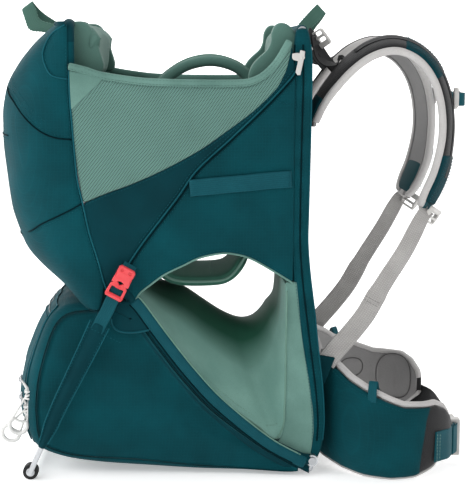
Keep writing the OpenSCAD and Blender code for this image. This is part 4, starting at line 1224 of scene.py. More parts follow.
# ------------------------------------------------------- front tube covers
SLEEVE_MID = [(102, 680, 8.5), (103.5, 650, 13.5), (104, 600, 14.5), (102.6, 530, 15), (101.6, 460, 14.7),
              (101, 395, 14), (101, 365, 13.6), (103.2, 327, 14), (107, 288, 14.8), (111.8, 250, 15),
              (118.8, 195, 13.6),
              (125.2, 148, 12.8), (128.9, 113, 12), (130.7, 77, 11), (128, 42, 9.5), (123, 24, 7)]
for side, s in SIDES:
    mid = smooth([(x, s * 143, z) for x, z, _ in SLEEVE_MID], 110)
    half = smooth([(x, w, z) for x, z, w in SLEEVE_MID], 110)[:, 1]
    depth = np.interp(np.linspace(0, 1, 110), [0, 0.04, 0.9, 1], [7.4, 9.4, 9.2, 8.2])
    section = round_section(1, 1, 26, 0.62)
    sleeve = sweep(f"{side}_front_sleeve", mid, section, (1, 0, 0.05), TEAL,
                   scale=np.stack([half, depth + 0.5 * np.sin(np.arange(110) * 0.9)], axis=1), subdiv=1)
    piece(sleeve, "frame", ["front_sleeves"] if s < 0 else [])
    # The rear and middle cords along the sleeve are near-black, painted shade at its seams; the front one is
    # piping.
    for name, a, r, cord in (("rear", -0.93, 1.5, TEAL_SEAM_SHADOW), ("mid", 0.02, 1.2, TEAL_SEAM_SHADOW),
                             ("front", 0.9, 1.3, TEAL_PIPING)):
        lift = math.sqrt(max(0, 1 - abs(a) ** 3.2)) ** 0.62
        line = [(x + a * w, s * (143 + (9.2 * lift + 0.4)), z) for (x, _, z),
                w in zip(mid[4:-4:4], half[4:-4:4])]
        piece(tube(f"{side}_sleeve_{name}_piping", line, r, cord, 110, sides=6), "frame")
    rows = [[(x + a * w, s * 152.6, z) for (x, _, z), w in zip(mid[4:-4:5], half[4:-4:5])]
        for a in (-0.72, -0.18, 0.22)]
    piece(stitches(f"{side}_sleeve_seams", rows, TEAL_PIPING, radius=0.4), "frame")
    corner = sheet(f"{side}_corner_flap",
                   [[(88 + 30 * u, s * (153.6 + 1.2 * math.sin(math.pi * u)),
                      36 - 22 * u - 18 * v * (1 - 0.3 * u))
                     for u in np.linspace(0, 1, 10)] for v in np.linspace(0, 1, 8)], TEAL_DARK, 1.6)
    piece(corner, "frame")
    cloth(corner, (0.032, 0.046), 0.00064, "stretched", [f"{side}_front_sleeve"])
for side, s in SIDES:
    inner_edge = smooth([(66, 0, 45), (77, 0, 75), (80, 0, 130), (81, 0, 215), (80, 0, 302)], 26)
    outer_edge = smooth([(119, 0, 24), (125, 0, 77), (117, 0, 149), (106, 0, 215), (97, 0, 302)], 26)
    rows = [[(a[0] + (b[0] - a[0]) * u, s * (152.6 - 1.6 * math.sin(math.pi * u) - 1.2 * u),
              a[2] + (b[2] - a[2]) * u)
             for u in np.linspace(0, 1, 9)] for a, b in zip(inner_edge, outer_edge)]
    gusset = sheet(f"{side}_leg_opening_gusset", rows, SAGE, 1.8)
    piece(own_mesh(gusset),
          "frame")
    cloth(gusset, (0.052, 0.27), 0.0086, "stretched", [f"{side}_front_sleeve"])
top_sleeve = sweep("top_tube_sleeve", smooth([(103, y, 676 + 0.4 * math.sin(y * 0.2))
    for y in range(-136, 137, 8)],
                                             60), round_section(9, 9, 18), (1, 0, 0), TEAL, subdiv=1)
piece(top_sleeve, "frame")
rows = [[(103 + 6.4 * c, y, 676 + 6.6) for y in range(-130, 131, 10)] for c in (-1, 1)]
piece(stitches("top_sleeve_stitches", rows, TEAL_PIPING), "frame")


# ------------------------------------------------------- pads on the frame
def panel_pad(name, centre, size, material, tilt=0.0, power=0.32, bulge=0.0, grid=(24, 30)):
    """A flat pad facing X, rounded all round: size is (thickness, width, height)."""
    rows = []
    for i in range(grid[0]):
        b = -math.pi / 2 + math.pi * i / (grid[0] - 1)
        ring = []
        for j in range(grid[1]):
            a = 2 * math.pi * j / grid[1]
            c, d, e = math.cos(a), math.sin(a), math.sin(b)
            q = math.cos(b)
            f = [math.copysign(abs(v) ** power, v) for v in (c, d, e)]
            y, z = f[1] * q ** power * size[1] / 2, f[2] * size[2] / 2
            x = math.copysign(abs(c) ** 1.0, c) * q ** 0.5 * size[0] / 2
            x += bulge * (1 - (2 * y / size[1]) ** 2) * (1 - (2 * z / size[2]) ** 2) * (1 if c > 0 else 0)
            ring.append((x, y, z))
        rows.append(ring)
    g = arr(rows)
    t = math.radians(tilt)
    out = np.stack([g[..., 0] * math.cos(t) + g[..., 2] * math.sin(t) + centre[0], g[..., 1] + centre[1],
                    g[..., 2] * math.cos(t) - g[..., 0] * math.sin(t) + centre[2]], axis=-1)
    obj = make(name, out.reshape(-1, 3), grid_faces(grid[0], grid[1], False, True), material)
    modifier(obj, "WELD", merge_threshold=0.0003)
    return obj


back = panel_pad("back_mesh_panel", (111, 0, 437), (8, 262, 446), BLACK_MESH, power=0.2)
modifier(back, "SUBSURF", levels=1, render_levels=1)
piece(back, "frame", ["back_panel"])
edge = [(111, y, z) for y, z in rounded(262, 446, 26, 0, 437)]
piece(tube("back_panel_binding", edge, 3.4, TEAL_BAND, 140, closed=True), "frame")
for k, y in enumerate((-62, 62)):
    rib = cushion_sweep(f"back_pad_{'right' if y < 0 else 'left'}",
                        [(115.5, y * 0.9, 226), (116, y, 320), (115.5, y, 420)],
                        (0, 1, 0), 74, 4.5, BLACK_MESH)
    piece(rib, "frame")
lumbar = panel_pad("lumbar_cushion", (139.5, 0, 115), (17, 176, 150), GREY_PAD, tilt=-3, power=0.4,
                   bulge=2.5)
inflate(lumbar, 5.0, 3.0)
piece(lumbar, "frame", ["lumbar_pad"])
piece(tube("lumbar_binding", [(138.5 - 0.05 * (z - 115), y, z) for y, z in rounded(172, 146, 22, 0, 115)],
           3.0, GREY_LIGHT, 120, closed=True), "frame")

FACE_WING = [(24.3, 603), (26.4, 619.9), (35.3, 633.2), (51.3, 647.9), (57.2, 661.1), (58.4, 674.9),
             (64.8, 686), (74.3, 688.3), (83.8, 684.8), (94.6, 672.8), (101.3, 658.1), (102, 646.1),
             (92.5, 635.5), (77.1, 622.8), (56.3, 608.1), (38.4, 602.4)]
for side, s in SIDES:
    lobe = slab(f"{side}_face_pad", FACE_WING, s * 106, s * 138, SAGE_PAD, round_over=0.12)
    piece(lobe, "frame", ["front_pad"] if s < 0 else [])
bar_shape = [(62, 598), (61, 640), (64, 668), (74, 679), (86, 676), (91.5, 660), (92, 620), (88, 598)]
bar = slab("face_pad_middle", bar_shape, -110, 110, SAGE_PAD, steps=12, round_over=0.1)
inflate(bar, 5.0, 3.0)
piece(bar, "frame")
liner = sheet("front_liner_cloth", [[(82.5 + 1.6 * math.sin(y * 0.06) * math.sin(z * 0.018) - 2.0 *
                                      math.cos(y * math.pi / 264), y, z) for y in np.linspace(-133, 133, 32)]
                                    for z in np.linspace(46, 597, 36)], SAGE, 1.8)
piece(liner, "frame", ["front_liner"])
cloth(liner, (0.266, 0.553), 0.146, "stretched", ["front_frame"])
rail_pieces = []
for s in (-1, 1):
    path = [(117.2, s * 45, 426), (117.2, s * 45, 540), (117.2, s * 45, 654)]
    rail_pieces.append(ribbon("rail", path, 20, 1.6, (0, 1, 0), BLACK_WEB, 30))
    for z in range(436, 652, 24):
        rail_pieces.append(ribbon("rung", [(118, s * 45, z), (119.4, s * 45, z + 6), (118, s * 45,
            z + 12)], 20, 1.2,
                                  (0, 1, 0), BLACK_WEB, 8))
piece(join("harness_ladder", rail_pieces), "frame", ["harness_rails"])

# ------------------------------------------------- brackets and top webbing
for side, s in SIDES:
    axes = ((1, 0, 0), (0, 0, 1), (0, s, 0))
    stem = solid("stem", [(98.9, 648), (105.7, 646.2), (105.4, 640.7), (102.1, 624.8), (99.2, 611.4),
                          (95.1, 611.4), (92.1, 615.5), (95, 628.3), (97.5, 640.7)],
                 [], 5, GREY_PLASTIC, (0, s * 158.5, 0), axes, 1.4, 0)
    arm = solid("arm", [(87.2, 642.8), (94.9, 643.9), (99, 642.8), (99, 636.4), (97, 631.2), (89.1, 633.5),
                        (87, 636.4)],
                [], 4.4, GREY_PLASTIC, (0, s * 158.5, 0), axes, 1.3, 0)
    nub = solid("nub", circle(3.2, 102.5, 637.2), [circle(1.1, 102.5, 637.2)],
                6.4, GREY_PLASTIC, (0, s * 158.7, 0), axes, 0.9, 0)
    piece(join(f"{side}_top_bracket", [stem, arm, nub]), "frame",
          ["top_brackets"] if s < 0 else [])
    y = s * 72.5
    main = [(116, y, 676), (121, y, 671), (128, y, 658), (135.6, y, 648), (146, y, 633), (159, y, 618)]
    strap = ribbon(f"{side}_lifter_strap", main, 24, 1.8, (0.5, 0.8, 0.38), BLACK_WEB, 40)
    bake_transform(strap)
    if s < 0:
        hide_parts("load_lifters")
    piece(strap)
    loose = ribbon(f"{side}_lifter_tail", [(127, y, 668), (129, y + s * 6, 652), (133, y + s * 10, 638),
                                           (143, y + s * 12, 628), (158, y + s * 10, 627),
                                           (168, y + s * 6, 634),
                                           (172, y + s * 2, 626), (163, y, 617)], 20, 1.5, (0.45, 0.85, 0.3),
                   BLACK_WEB, 60)
    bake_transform(loose)
    piece(loose)
    t = math.radians(53)
    lean = math.radians(42)
    axes = ((math.cos(t), 0, -math.sin(t)),
            (math.sin(t) * math.sin(lean), s * math.cos(lean), math.cos(t) * math.sin(lean)),
            (math.sin(t) * math.cos(lean), -s * math.sin(lean), math.cos(t) * math.cos(lean)))
    frame_part = solid("lock", rounded(28, 33, 5), [rounded(6, 26, 2, -8), rounded(6, 26, 2, 2.5)], 5,
                       GREY_PLASTIC, (135, y, 664), axes, 1.3, 0)
    hook = solid("hook", rounded(7, 26, 2, 11), [], 6.4, GREY_PLASTIC, (135, y, 664), axes, 1.6, 1.4)
    piece(join(f"{side}_lifter_lock", [frame_part, hook]), "frame",
          ["lifter_locks"] if s < 0 else [])

# ---------------------------------------------------------- shoulder harness
plate = panel_pad("yoke_pad", (119.6, 0, 560), (4.6, 138, 92), BLACK_MESH, power=0.3)
modifier(plate, "SUBSURF", levels=1, render_levels=1)
piece(plate, "yoke", ["yoke_plate"])
edge = [(119.6, y, z) for y, z in rounded(136, 90, 14, 0, 560)]
piece(tube("yoke_binding", edge, 2.6, TEAL_BAND, 120, closed=True), "yoke")

STRAP = [(123, 540), (134, 566), (150, 591), (180, 626), (212, 648.5), (247, 655.5), (281, 643), (307, 615),
         (323, 574), (327.5, 522), (319.5, 466), (302, 422), (291, 403)]
STRAP_N = 96
strap_run = np.linspace(0, 1, STRAP_N)
strap_mid = smooth([(x, 0, z) for x, z in STRAP], STRAP_N)
strap_tan = tangents(strap_mid)
strap_in = np.stack([strap_tan[:, 2], 0 * strap_run, -strap_tan[:, 0]], axis=1)
strap_half = np.interp(strap_run, [0, 0.12, 0.3, 0.6, 0.85, 0.93, 0.975, 1.0],
                       [18, 21, 28, 30, 29, 26, 19, 6])
strap_tilt = np.radians(np.interp(strap_run, [0, 0.15, 0.35, 0.75, 1], [12, 16, 20, 22, 36]))


def strap_frame(s):
    """Points along the strap's middle, its across direction (outward in Y) and its outer face's normal."""
    across = arr((0, s, 0)) * np.cos(strap_tilt)[:, None] + strap_in * np.sin(strap_tilt)[:, None]
    normal = -strap_in * np.cos(strap_tilt)[:, None] + arr((0, s, 0)) * np.sin(strap_tilt)[:, None]
    shift = np.interp(strap_run, [0, 0.25, 1], [-6, 0, 0])
    return strap_mid + np.stack([0 * shift, s * (100 + shift), 0 * shift], axis=1), across, normal


def strap_band(name, s, a, off, section, material, lo=0, hi=STRAP_N, scale=None, subdiv=1):
    """A sweep along the strap at `a` across (in half widths) and `off` mm out of its middle."""
    mid, across, normal = strap_frame(s)
    path = mid + across * (a * strap_half)[:, None] + normal * np.broadcast_to(off, STRAP_N)[:, None]
    sec = [(x, y * s) for x, y in section]
    return sweep(name, path[lo:hi], sec, across[lo:hi], material,
                 scale=None if scale is None else scale[lo:hi], subdiv=subdiv)


for side, s in SIDES:
    body = "yoke"
    puff = 1 + 0.05 * np.sin(strap_run * 40)
    scale = np.stack([(strap_half - 3) / 27, np.interp(strap_run, [0, 0.1, 0.9, 1],
                                                       [0.7, 1, 1, 0.6]) * puff], axis=1)
    inner = strap_band(f"{side}_strap_padding", s, 0, -1.6, round_section(27, 4.6, 22, 0.6), GREY_PAD,
                       scale=scale)
    piece(inner, body, [f"shoulder_strap_{side}"])
    outer = strap_band(f"{side}_strap_mesh", s, 0, 4.4, round_section(26, 6.2, 22, 0.75), BLACK_MESH, 2,
                       STRAP_N - 3, scale=scale)
    piece(outer, body)
    edges = []
    for a in (-1, 1):
        edges.append(strap_band("binding", s, a * 0.82, -0.6, round_section(6.6, 6.2, 14,
            0.85), GREY_LIGHT, 0,
                                STRAP_N - 1, scale=np.stack([np.minimum(1, strap_half / 22),
                                                             1 + 0 * strap_run], 1)))
    piece(join(f"{side}_strap_binding", edges), body)
    end = strap_band("end", s, 0, 0.4, round_section(8, 6.0, 14, 0.9), GREY_LIGHT, STRAP_N - 4, STRAP_N)
    piece(end, body)
    lines = []
    for a in (-0.66, 0.66):
        lines.append(strap_band("line", s, a, -6.4, round_section(1.1, 0.9, 6), GREY_PAD, 3,
            STRAP_N - 4, subdiv=0))
    piece(join(f"{side}_strap_piping", lines), body)
    for which, lo, hi, material in (("top", 38, 54, TEAL_DARK), ("low", 76, 93, TEAL_DARK),
                                    ("root", 0, 9, TEAL_DARK)):
        patch = strap_band(f"{side}_strap_patch_{which}", s, 0, 4.9, round_section(26.8, 6.5, 22, 0.75),
                           material, lo, hi, scale=scale)
        piece(patch, body)
    end_size = np.stack([np.clip(strap_half / 25, 0.2, 1),
                         np.interp(strap_run, [0.86, 0.88, 0.96, 0.98], [0.3, 1, 1, 0.3])], axis=1)
    inside = strap_band(f"{side}_strap_end_lining", s, 0.0, -4.2, round_section(19, 3.8, 20, 0.8), LINING,
                        80, 94, scale=end_size)
    piece(inside, body)
    daisy = strap_band(f"{side}_strap_daisy", s, -0.1, 10.9, flat_section(12, 1.6), BLACK_WEB, 24, 84,
                       subdiv=0)
    piece(daisy, body)
    root = panel_pad(f"{side}_strap_root", (126.5, s * 76, 549), (8.5, 34, 36), GREY_PAD, power=0.4)
    modifier(root, "SUBSURF", levels=1, render_levels=1)
    piece(root, body)
    mid, across, normal = strap_frame(s)
    rows = [[tuple(mid[k] + across[k] * a + normal[k] * 11) for k in range(lo, hi)]
            for lo, hi in ((39, 53), (77, 92)) for a in (-18, 18)]
    rows += [[tuple(mid[k] + across[k] * a + normal[k] * 11.6) for a in (-17, -8, 0, 8, 17)]
        for k in (39, 53, 77, 91)]
    piece(stitches(f"{side}_strap_stitches", rows, TEAL_PIPING), body)
    # The webbing between the strap and its ladder lock.
    tail = strap_band(f"{side}_strap_tail", s, 0, 5.2, flat_section(25, 2), TEAL_BAND, 84, 95, subdiv=0)
    piece(tail, body)
    lean = math.radians(38)
    axes = ((0.53, 0, 0.848), (-0.848 * math.sin(lean), s * math.cos(lean), 0.53 * math.sin(lean)),
            (-0.848 * math.cos(lean), -s * math.sin(lean), 0.53 * math.cos(lean)))
    origin = (308, s * 104, 396)
    lock = solid("lock", rounded(26, 33.5, 4), [rounded(4.5, 26, 1.5, -7.5), rounded(5.5, 26, 1.5, 1.5)],
                 5.4, GREY_PLASTIC, origin, axes, 1.4, 0)
    lip = solid("lip", rounded(6.5, 30, 2.5, 9.5), [], 7.6, GREY_PLASTIC, origin, axes, 1.8, -1.2)
    bump = solid("bump", rounded(3.5, 27, 1.6, -3), [], 7.2, GREY_PLASTIC, origin, axes, 1.4, -0.8)
    wings = [solid("ear", rounded(14, 4.5, 1.8, -1, y), [], 7.6, GREY_PLASTIC, origin, axes, 1.6, 0.4)
             for y in (-14.6, 14.6)]
    piece(join(f"{side}_ladder_lock", [lock, lip, bump] + wings), body,
          ["ladder_locks"] if s < 0 else [])

# Webbing from the hip belt's corner up to the ladder lock.
LOWER = [(302, 404), (291, 397), (264, 346), (236.7, 302), (222, 277), (204, 245), (181, 215), (156, 186),
         (144, 170)]
for side, s in SIDES:
    path = [(x, s * (127.4 if x < 285 else 127.4 - (x - 285) * 1.2), z) for x, z in LOWER]
    width = np.interp(np.linspace(0, 1, 90), [0, 0.15, 0.5, 0.55, 1], [0.8, 1, 1.08, 1.22, 1.26])
    web = sweep(f"{side}_lower_webbing", smooth(path, 90), flat_section(25, 2), (0.87, 0, -0.5), GREY_WEB,
                scale=np.stack([width, np.ones(90)], axis=1))
    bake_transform(web)
    if s < 0:
        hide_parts("lower_webbing")
    piece(web)
    rows = [[(217 + 13.2 * a + o[0], s * 128.8, 268 - 7.8 * a + o[1]) for a in (-0.9, -0.3, 0.3, 0.9)]
            for o in ((0, 0), (-3, -5))]
    tack = stitches(f"{side}_lower_tack", rows, GREY_PAD, radius=0.5)
    piece(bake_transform(tack))
    anchor = sheet(f"{side}_belt_anchor", [[tuple(arr((132, s * 129, 184)) * (1 - u) * (1 - v) +
                                                  arr((159, s * 129.5, 179)) * u * (1 - v) +
                                                  arr((134, s * 128, 132)) * (1 - u) * v +
                                                  arr((143, s * 131, 138)) * u * v)
                                            for u in np.linspace(0, 1, 8)] for v in np.linspace(0, 1, 12)],
                   TEAL_DARK, 3)
    piece(anchor, "frame")
    cloth(anchor, (0.028, 0.052), 0.0009, "stretched", [f"{side}_front_sleeve"])

# ------------------------------------------------------------ sternum strap
for side, s in SIDES:
    axes = ((0, s, 0), (0, 0, 1), (1, 0, 0))
    clip = solid("clip", rounded(12, 29, 2.5, 92, 0), [rounded(6, 21, 1.5, 92, 0)], 5.4, GREY_PLASTIC,
                 (342, 0, 573), axes, 1.2, 0)
    hook = solid("hook", rounded(6, 8, 2, 92, 14), [], 7.4, GREY_PLASTIC, (342, 0, 573), axes, 1.2, 1)
    jaw = solid("jaw", rounded(5, 24, 2, 96.5, 0), [], 7.6, GREY_PLASTIC, (342, 0, 573), axes, 1.4, 0.5)
    piece(join(f"{side}_sternum_clip", [clip, hook, jaw]), "sternum",
          ["sternum_clips"] if s < 0 else [])
    path = [(344, s * 95, 573), (350, s * 92.5, 573), (356.5, s * 86, 573), (358.5, s * 74, 573),
            (355.5, s * 55, 573), (350, s * 34, 573), (347.5, s * 20, 573)]
    strap = ribbon(f"{side}_sternum_webbing", path, 20, 2, (0, 0, 1), TEAL_BAND, 40)
    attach(strap, "sternum")
    if s > 0:
        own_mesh(strap)
    else:
        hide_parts("sternum_strap")
    piece(strap)
    keeper = solid(f"{side}_sternum_keeper", rounded(9, 24, 3, 50, 0), [rounded(4, 20.5, 1, 50, 0)], 5.5,
                   GREY_PLASTIC, (354.4, 0, 573), axes, 1.1, 0)
    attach(keeper, "sternum")
    piece(keeper)
axes = ((0, 1, 0), (0, 0, 1), (1, 0, 0))
shell = [(-0.8, -9), (-0.8, 9), (-3, 10.5), (-14.5, 10.5), (-17.5, 8), (-17.5, -8), (-14.5, -10.5),
         (-3, -10.5)]
front_shell = solid("front", shell, [rounded(5, 6, 1.5, -9, 0)], 3.0, GREY_PLASTIC, (350.3, 0, 573), axes,
                    0.9, 0)
back_shell = solid("back", shell, [], 3.0, GREY_PLASTIC, (343.8, 0, 573), axes, 0.9, 0)
middle = solid("mid", rounded(5, 19, 2, -15, 0), [], 8.5, GREY_PLASTIC, (347, 0, 573), axes, 1, 0)
piece(join("sternum_buckle_socket", [front_shell, back_shell, middle]), "sternum",
      ["sternum_socket"])
prongs = [(0.6, -9.5), (0.6, -6.8), (-9, -7.2), (-9.5, -4.2), (0.6, -3), (0.6, 3), (-9.5, 4.2), (-9, 7.2),
          (0.6, 6.8), (0.6, 9.5), (3, 10.5), (15, 10.5), (17, 8.5), (17, -8.5), (15, -10.5), (3, -10.5)]
fork = solid("fork", prongs, [rounded(5, 16, 1.5, 11, 0)], 4.2, GREY_PLASTIC, (347, 0, 573), axes, 1.1, 0)
lug = solid("lug", rounded(5, 20, 2, 3.5, 0), [], 7.4, GREY_PLASTIC, (347, 0, 573), axes, 1.3, 0)
piece(join("sternum_buckle_plug", [fork, lug]), "sternum_plug", ["sternum_plug"])

# ----------------------------------------------------------------- hip belt
WING_PLAN = [(140, 92), (150, 105), (172, 134), (204, 166), (246, 181), (288, 176), (318, 154), (335, 130)]
WING_TOP = [(136, 186), (150, 175), (165, 165), (180, 152), (205, 139), (234, 126), (258, 117), (290, 115),
            (308, 115), (323, 106), (333, 90), (337, 66)]
WING_LOW = [(120, 38), (138, 22), (147, 15), (172, 6.5), (202, 2.5), (240, 1.5), (276, 4.5), (304, 15),
            (318, 30), (332, 48), (337, 60)]
WING_N = 72
wing_mid = smooth([(x, y, 0) for x, y in WING_PLAN], WING_N)
wing_tan = tangents(wing_mid)


def wing_point(s, k, z, off):
    """A point on the wing at station k (may be fractional), height z, `off` mm outward of its middle."""
    i = np.clip(k, 0, WING_N - 1)
    x, y = (np.interp(i, range(WING_N), wing_mid[:, c]) for c in (0, 1))
    tx, ty = (np.interp(i, range(WING_N), wing_tan[:, c]) for c in (0, 1))
    return (x - ty * off, s * (y + tx * off), z)


def wing_span(k):
    """Lower and upper edge of the belt wing at station k, in mm."""
    x = np.interp(k, range(WING_N), wing_mid[:, 0])
    return lookup(x, WING_LOW), lookup(x, WING_TOP)


def station(x):
    """The belt wing's station at x."""
    return float(np.interp(x, wing_mid[:, 0], range(WING_N)))


def bend_root(obj):
    """Bakes the placement of a piece of the wing, whose root is beside the front frame, into its mesh."""
    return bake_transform(obj)


def wing_layer(name, s, k0, k1, v0, v1, off, half, crown, material, slant=0.0, wrinkle=0.0, rows=30,
               cols=56):
    """A padded layer from station k0 to k1 and from v0 to v1 of the wing's height, `half` thick each way."""
    rings = []
    for c in range(cols):
        u = c / (cols - 1)
        ring = []
        for r in range(rows):
            a = 2 * math.pi * r / rows
            v = 0.5 + 0.5 * math.copysign(abs(math.sin(a)) ** 0.6, math.sin(a))
            w = v0 + (v1 - v0) * v
            k = k0 + (k1 - k0) * u + slant * (w - 0.5) * u
            low, high = wing_span(k)
            shape = abs(math.cos(a)) ** 0.6 * math.sqrt(max(0.02, 1 - (2 * u - 1) ** 16))
            dome = crown * (1 - (2 * w - 1) ** 2) ** 0.7 * math.sqrt(max(0, math.sin(math.pi * u)))
            fold = wrinkle * math.sin(0.6 * k + 5 * w) * math.sin(7 * w + 0.3 * k)
            d = off + math.copysign(half * shape, math.cos(a)) + (dome + fold if math.cos(a) > 0 else 0)
            ring.append(wing_point(s, k, low + (high - low) * w, d))
        rings.append(ring)
    g = arr(rings)
    faces = grid_faces(cols, rows, False, True)
    faces += [tuple(range(rows))[::-1], tuple((cols - 1) * rows + i for i in range(rows))]
    if s < 0:
        faces = [f[::-1] for f in faces]
    obj = make(name, g.reshape(-1, 3), faces, material)
    modifier(obj, "SUBSURF", levels=1, render_levels=1)
    return obj


def wing_dome(name, s, x0, z0, rx, rz, off, height, material, power=2.4):
    """A stitched pod on the wing's inner face."""
    k0 = station(x0)
    per = np.linalg.norm(np.diff(wing_mid[:, :2], axis=0), axis=1).mean()
    rings = []
    for f in (1.0, 0.97, 0.88, 0.7, 0.45, 0.2, 0.02):
        ring = []
        for j in range(40):
            a = 2 * math.pi * j / 40
            c, e = (math.copysign(abs(t) ** (2 / power), t) for t in (math.cos(a), math.sin(a)))
            rise = height * (1 - f ** 2.6)
            ring.append(wing_point(s, k0 + c * rx * f / per, z0 + e * rz * f, off - rise))
        rings.append(ring)
    g = arr(rings)
    faces = grid_faces(len(rings), 40, False, True) + [tuple(6 * 40 + i for i in range(40))]
    obj = make(name, g.reshape(-1, 3), faces, material)
    modifier(obj, "SUBSURF", levels=1, render_levels=1)
    return obj


for side, s in SIDES:
    body = f"belt_{side}"
    tip = station(287)
    cover = wing_layer(f"{side}_belt_cover", s, 0, tip + 2, 0.015, 0.965, 2.6, 6.2, 6.5, TEAL, slant=5,
                       wrinkle=0.5)
    piece(bend_root(cover), None, [f"hip_wing_{side}"])
    end = wing_layer(f"{side}_belt_tip", s, tip - 6, WING_N - 1, 0.03, 0.955, 1.6, 5.6, 4.0, BLACK_MESH,
                     cols=28)
    piece(end, body)
    inner = wing_layer(f"{side}_belt_lining", s, 0.5, WING_N - 2, 0.02, 0.98, -3.2, 4.8, 0, GREY_PAD)
    piece(bend_root(inner))
    for which, v, r in (("top", 1.0, (4.6, 5.0)), ("bottom", 0.0, (2.6, 5.2))):
        line = []
        for k in np.linspace(0.5, WING_N - 1, 60):
            low, high = wing_span(k)
            line.append(wing_point(s, k, low + (high - low) * v + (1.0 if v else 0.6), -1.6 if v else -0.4))
        rim = sweep(f"{side}_belt_binding_{which}", smooth(line, 90), round_section(r[0], r[1], 14, 0.9),
                    (0, 0, 1), GREY_LIGHT, subdiv=1)
        piece(bend_root(rim))
    for which, spot in (("small", (212, 90, 27, 17, 3.2)), ("large", (300, 75, 37, 39, 4.4))):
        x0, z0, rx, rz, h = spot
        pod = wing_dome(f"{side}_belt_pod_{which}", s, x0, z0, rx, rz, -7.2, h, GREY_PAD)
        piece(pod, body)
        per = np.linalg.norm(np.diff(wing_mid[:, :2], axis=0), axis=1).mean()
        ring = [wing_point(s, station(x0) + math.copysign(abs(math.cos(a)) ** 0.83,
                                                          math.cos(a)) * rx * 1.02 / per,
                           z0 + math.copysign(abs(math.sin(a)) ** 0.83, math.sin(a)) * rz * 1.02, -8.3)
                for a in np.linspace(0, 2 * math.pi, 30, endpoint=False)]
        piece(tube(f"{side}_belt_pod_seam_{which}", ring, 0.8, GREY_SEAM, 80, closed=True, sides=6),
              body)
    # Loop on the wing's upper edge.
    k = station(214 if s < 0 else 186)
    low, high = wing_span(k)
    loop = [wing_point(s, k, high - 14, 9.6), wing_point(s, k, high + 2, 8.0),
            wing_point(s, k, high + 12, 5.5),
            wing_point(s, k, high + 17, 2.0), wing_point(s, k, high + 12, -1.5),
            wing_point(s, k, high + 2, -4.5), wing_point(s, k, high - 10, -7.5)]
    tan = wing_tan[int(k)]
    piece(ribbon(f"{side}_belt_loop", loop, 14, 1.8, (tan[0], s * tan[1], 0), TEAL_BAND, 40),
          body)
    row = [wing_point(s, kk, wing_span(kk)[1] - 9, 10.2) for kk in np.linspace(3, tip - 3, 30)]
    piece(bend_root(stitches(f"{side}_belt_stitches", [row], TEAL_PIPING)))

# Webbing and buckle at the front of the belt.
near = [wing_point(-1, station(300), 50, 13.4), wing_point(-1, station(314), 49, 11.0),
        wing_point(-1, station(326), 47, 9.6), (345, -121, 45), (349.5, -112, 44), (350, -104, 43)]
piece(ribbon("right_belt_webbing", near, 48, 2.4, (0, 0, 1), TEAL_BAND, 44), "belt_right",
      ["hip_webbing_right"])
rows = [[tuple(arr(near[0]) + (1 + d, -1.9, z)) for z in range(-22, 23, 4)] for d in (2, 6)]
piece(stitches("right_belt_webbing_tack", rows, SAGE_BAND), "belt_right")
fold = [(345, -126, 44), (352, -114, 44), (355, -104, 43), (351, -97, 43), (346.5, -102, 43),
        (342.5, -114, 43)]
piece(ribbon("right_belt_fold", fold, 46, 2.0, (0, 0, 1), TEAL_BAND, 40), "belt_right")
far = [wing_point(1, station(308), 41, 9.6), wing_point(1, station(326), 41, 9.0), (347, 118, 41),
       (352, 92, 41),
       (353, 50, 41), (353, 0, 41), (353, -40, 41), (352.6, -60, 41)]
strap = ribbon("left_belt_webbing", far, 47, 2.0, (0, 0, 1), BLACK_WEB, 90)
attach(strap, "belt_left")
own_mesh(strap)
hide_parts("hip_webbing_left")
piece(strap)
axes = ((0, 1, 0), (0, 0, 1), (1, 0, 0))
cup = [(-0.8, -25), (-0.8, 25), (-4, 28), (-17, 28), (-20.5, 24), (-20.5, -24), (-17, -28), (-4, -28)]
outer_half = solid("outer", cup, [rounded(7, 14, 3, -10, 0)], 4.4, HIP_PLASTIC, (358.4, -84, 42), axes, 1.4,
                   0)
inner_half = solid("inner", cup, [], 4.4, HIP_PLASTIC, (347, -84, 42), axes, 1.4, 0)
ends = [solid("end", rounded(20, 6, 2.5, -11, z), [], 16, HIP_PLASTIC, (352.6, -84, 42), axes, 2.2, 0)
        for z in (-26.5, 26.5)]
spine = solid("spine", rounded(5, 50, 2, -18, 0), [], 13, HIP_PLASTIC, (352.6, -84, 42), axes, 1.6, 0)
piece(join("hip_buckle_socket", [outer_half, inner_half, spine] + ends), "belt_right",
      ["hip_socket"])
tine = [(0.6, -26), (0.6, -18.4), (-12.5, -19.2), (-13, -10.5), (0.6, -8), (0.6, 8), (-13, 10.5),
        (-12.5, 19.2),
        (0.6, 18.4), (0.6, 26), (4, 28), (17, 28), (20.5, 24), (20.5, -24), (17, -28), (4, -28)]
fork = solid("fork", tine, [rounded(6, 46, 2, 13, 0)], 6.4, HIP_PLASTIC, (352.5, -84, 42), axes, 1.6, 0)
brow = solid("brow", rounded(6, 52, 2.5, 4, 0), [], 12, HIP_PLASTIC, (352.5, -84, 42), axes, 2.0, 0)
piece(join("hip_buckle_plug", [fork, brow]), "hip_plug", ["hip_plug"])

# --------------------------------------------------------------- child seat
SEAT = [(-144, 584), (-142.5, 560), (-142, 500), (-136, 400), (-122, 330), (-104, 301), (-78, 291),
        (-25, 291), (-6, 296), (8, 309), (28, 340)]


def press_up(obj):
    """Gives a piece of the seat a mesh of its own."""
    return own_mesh(obj)


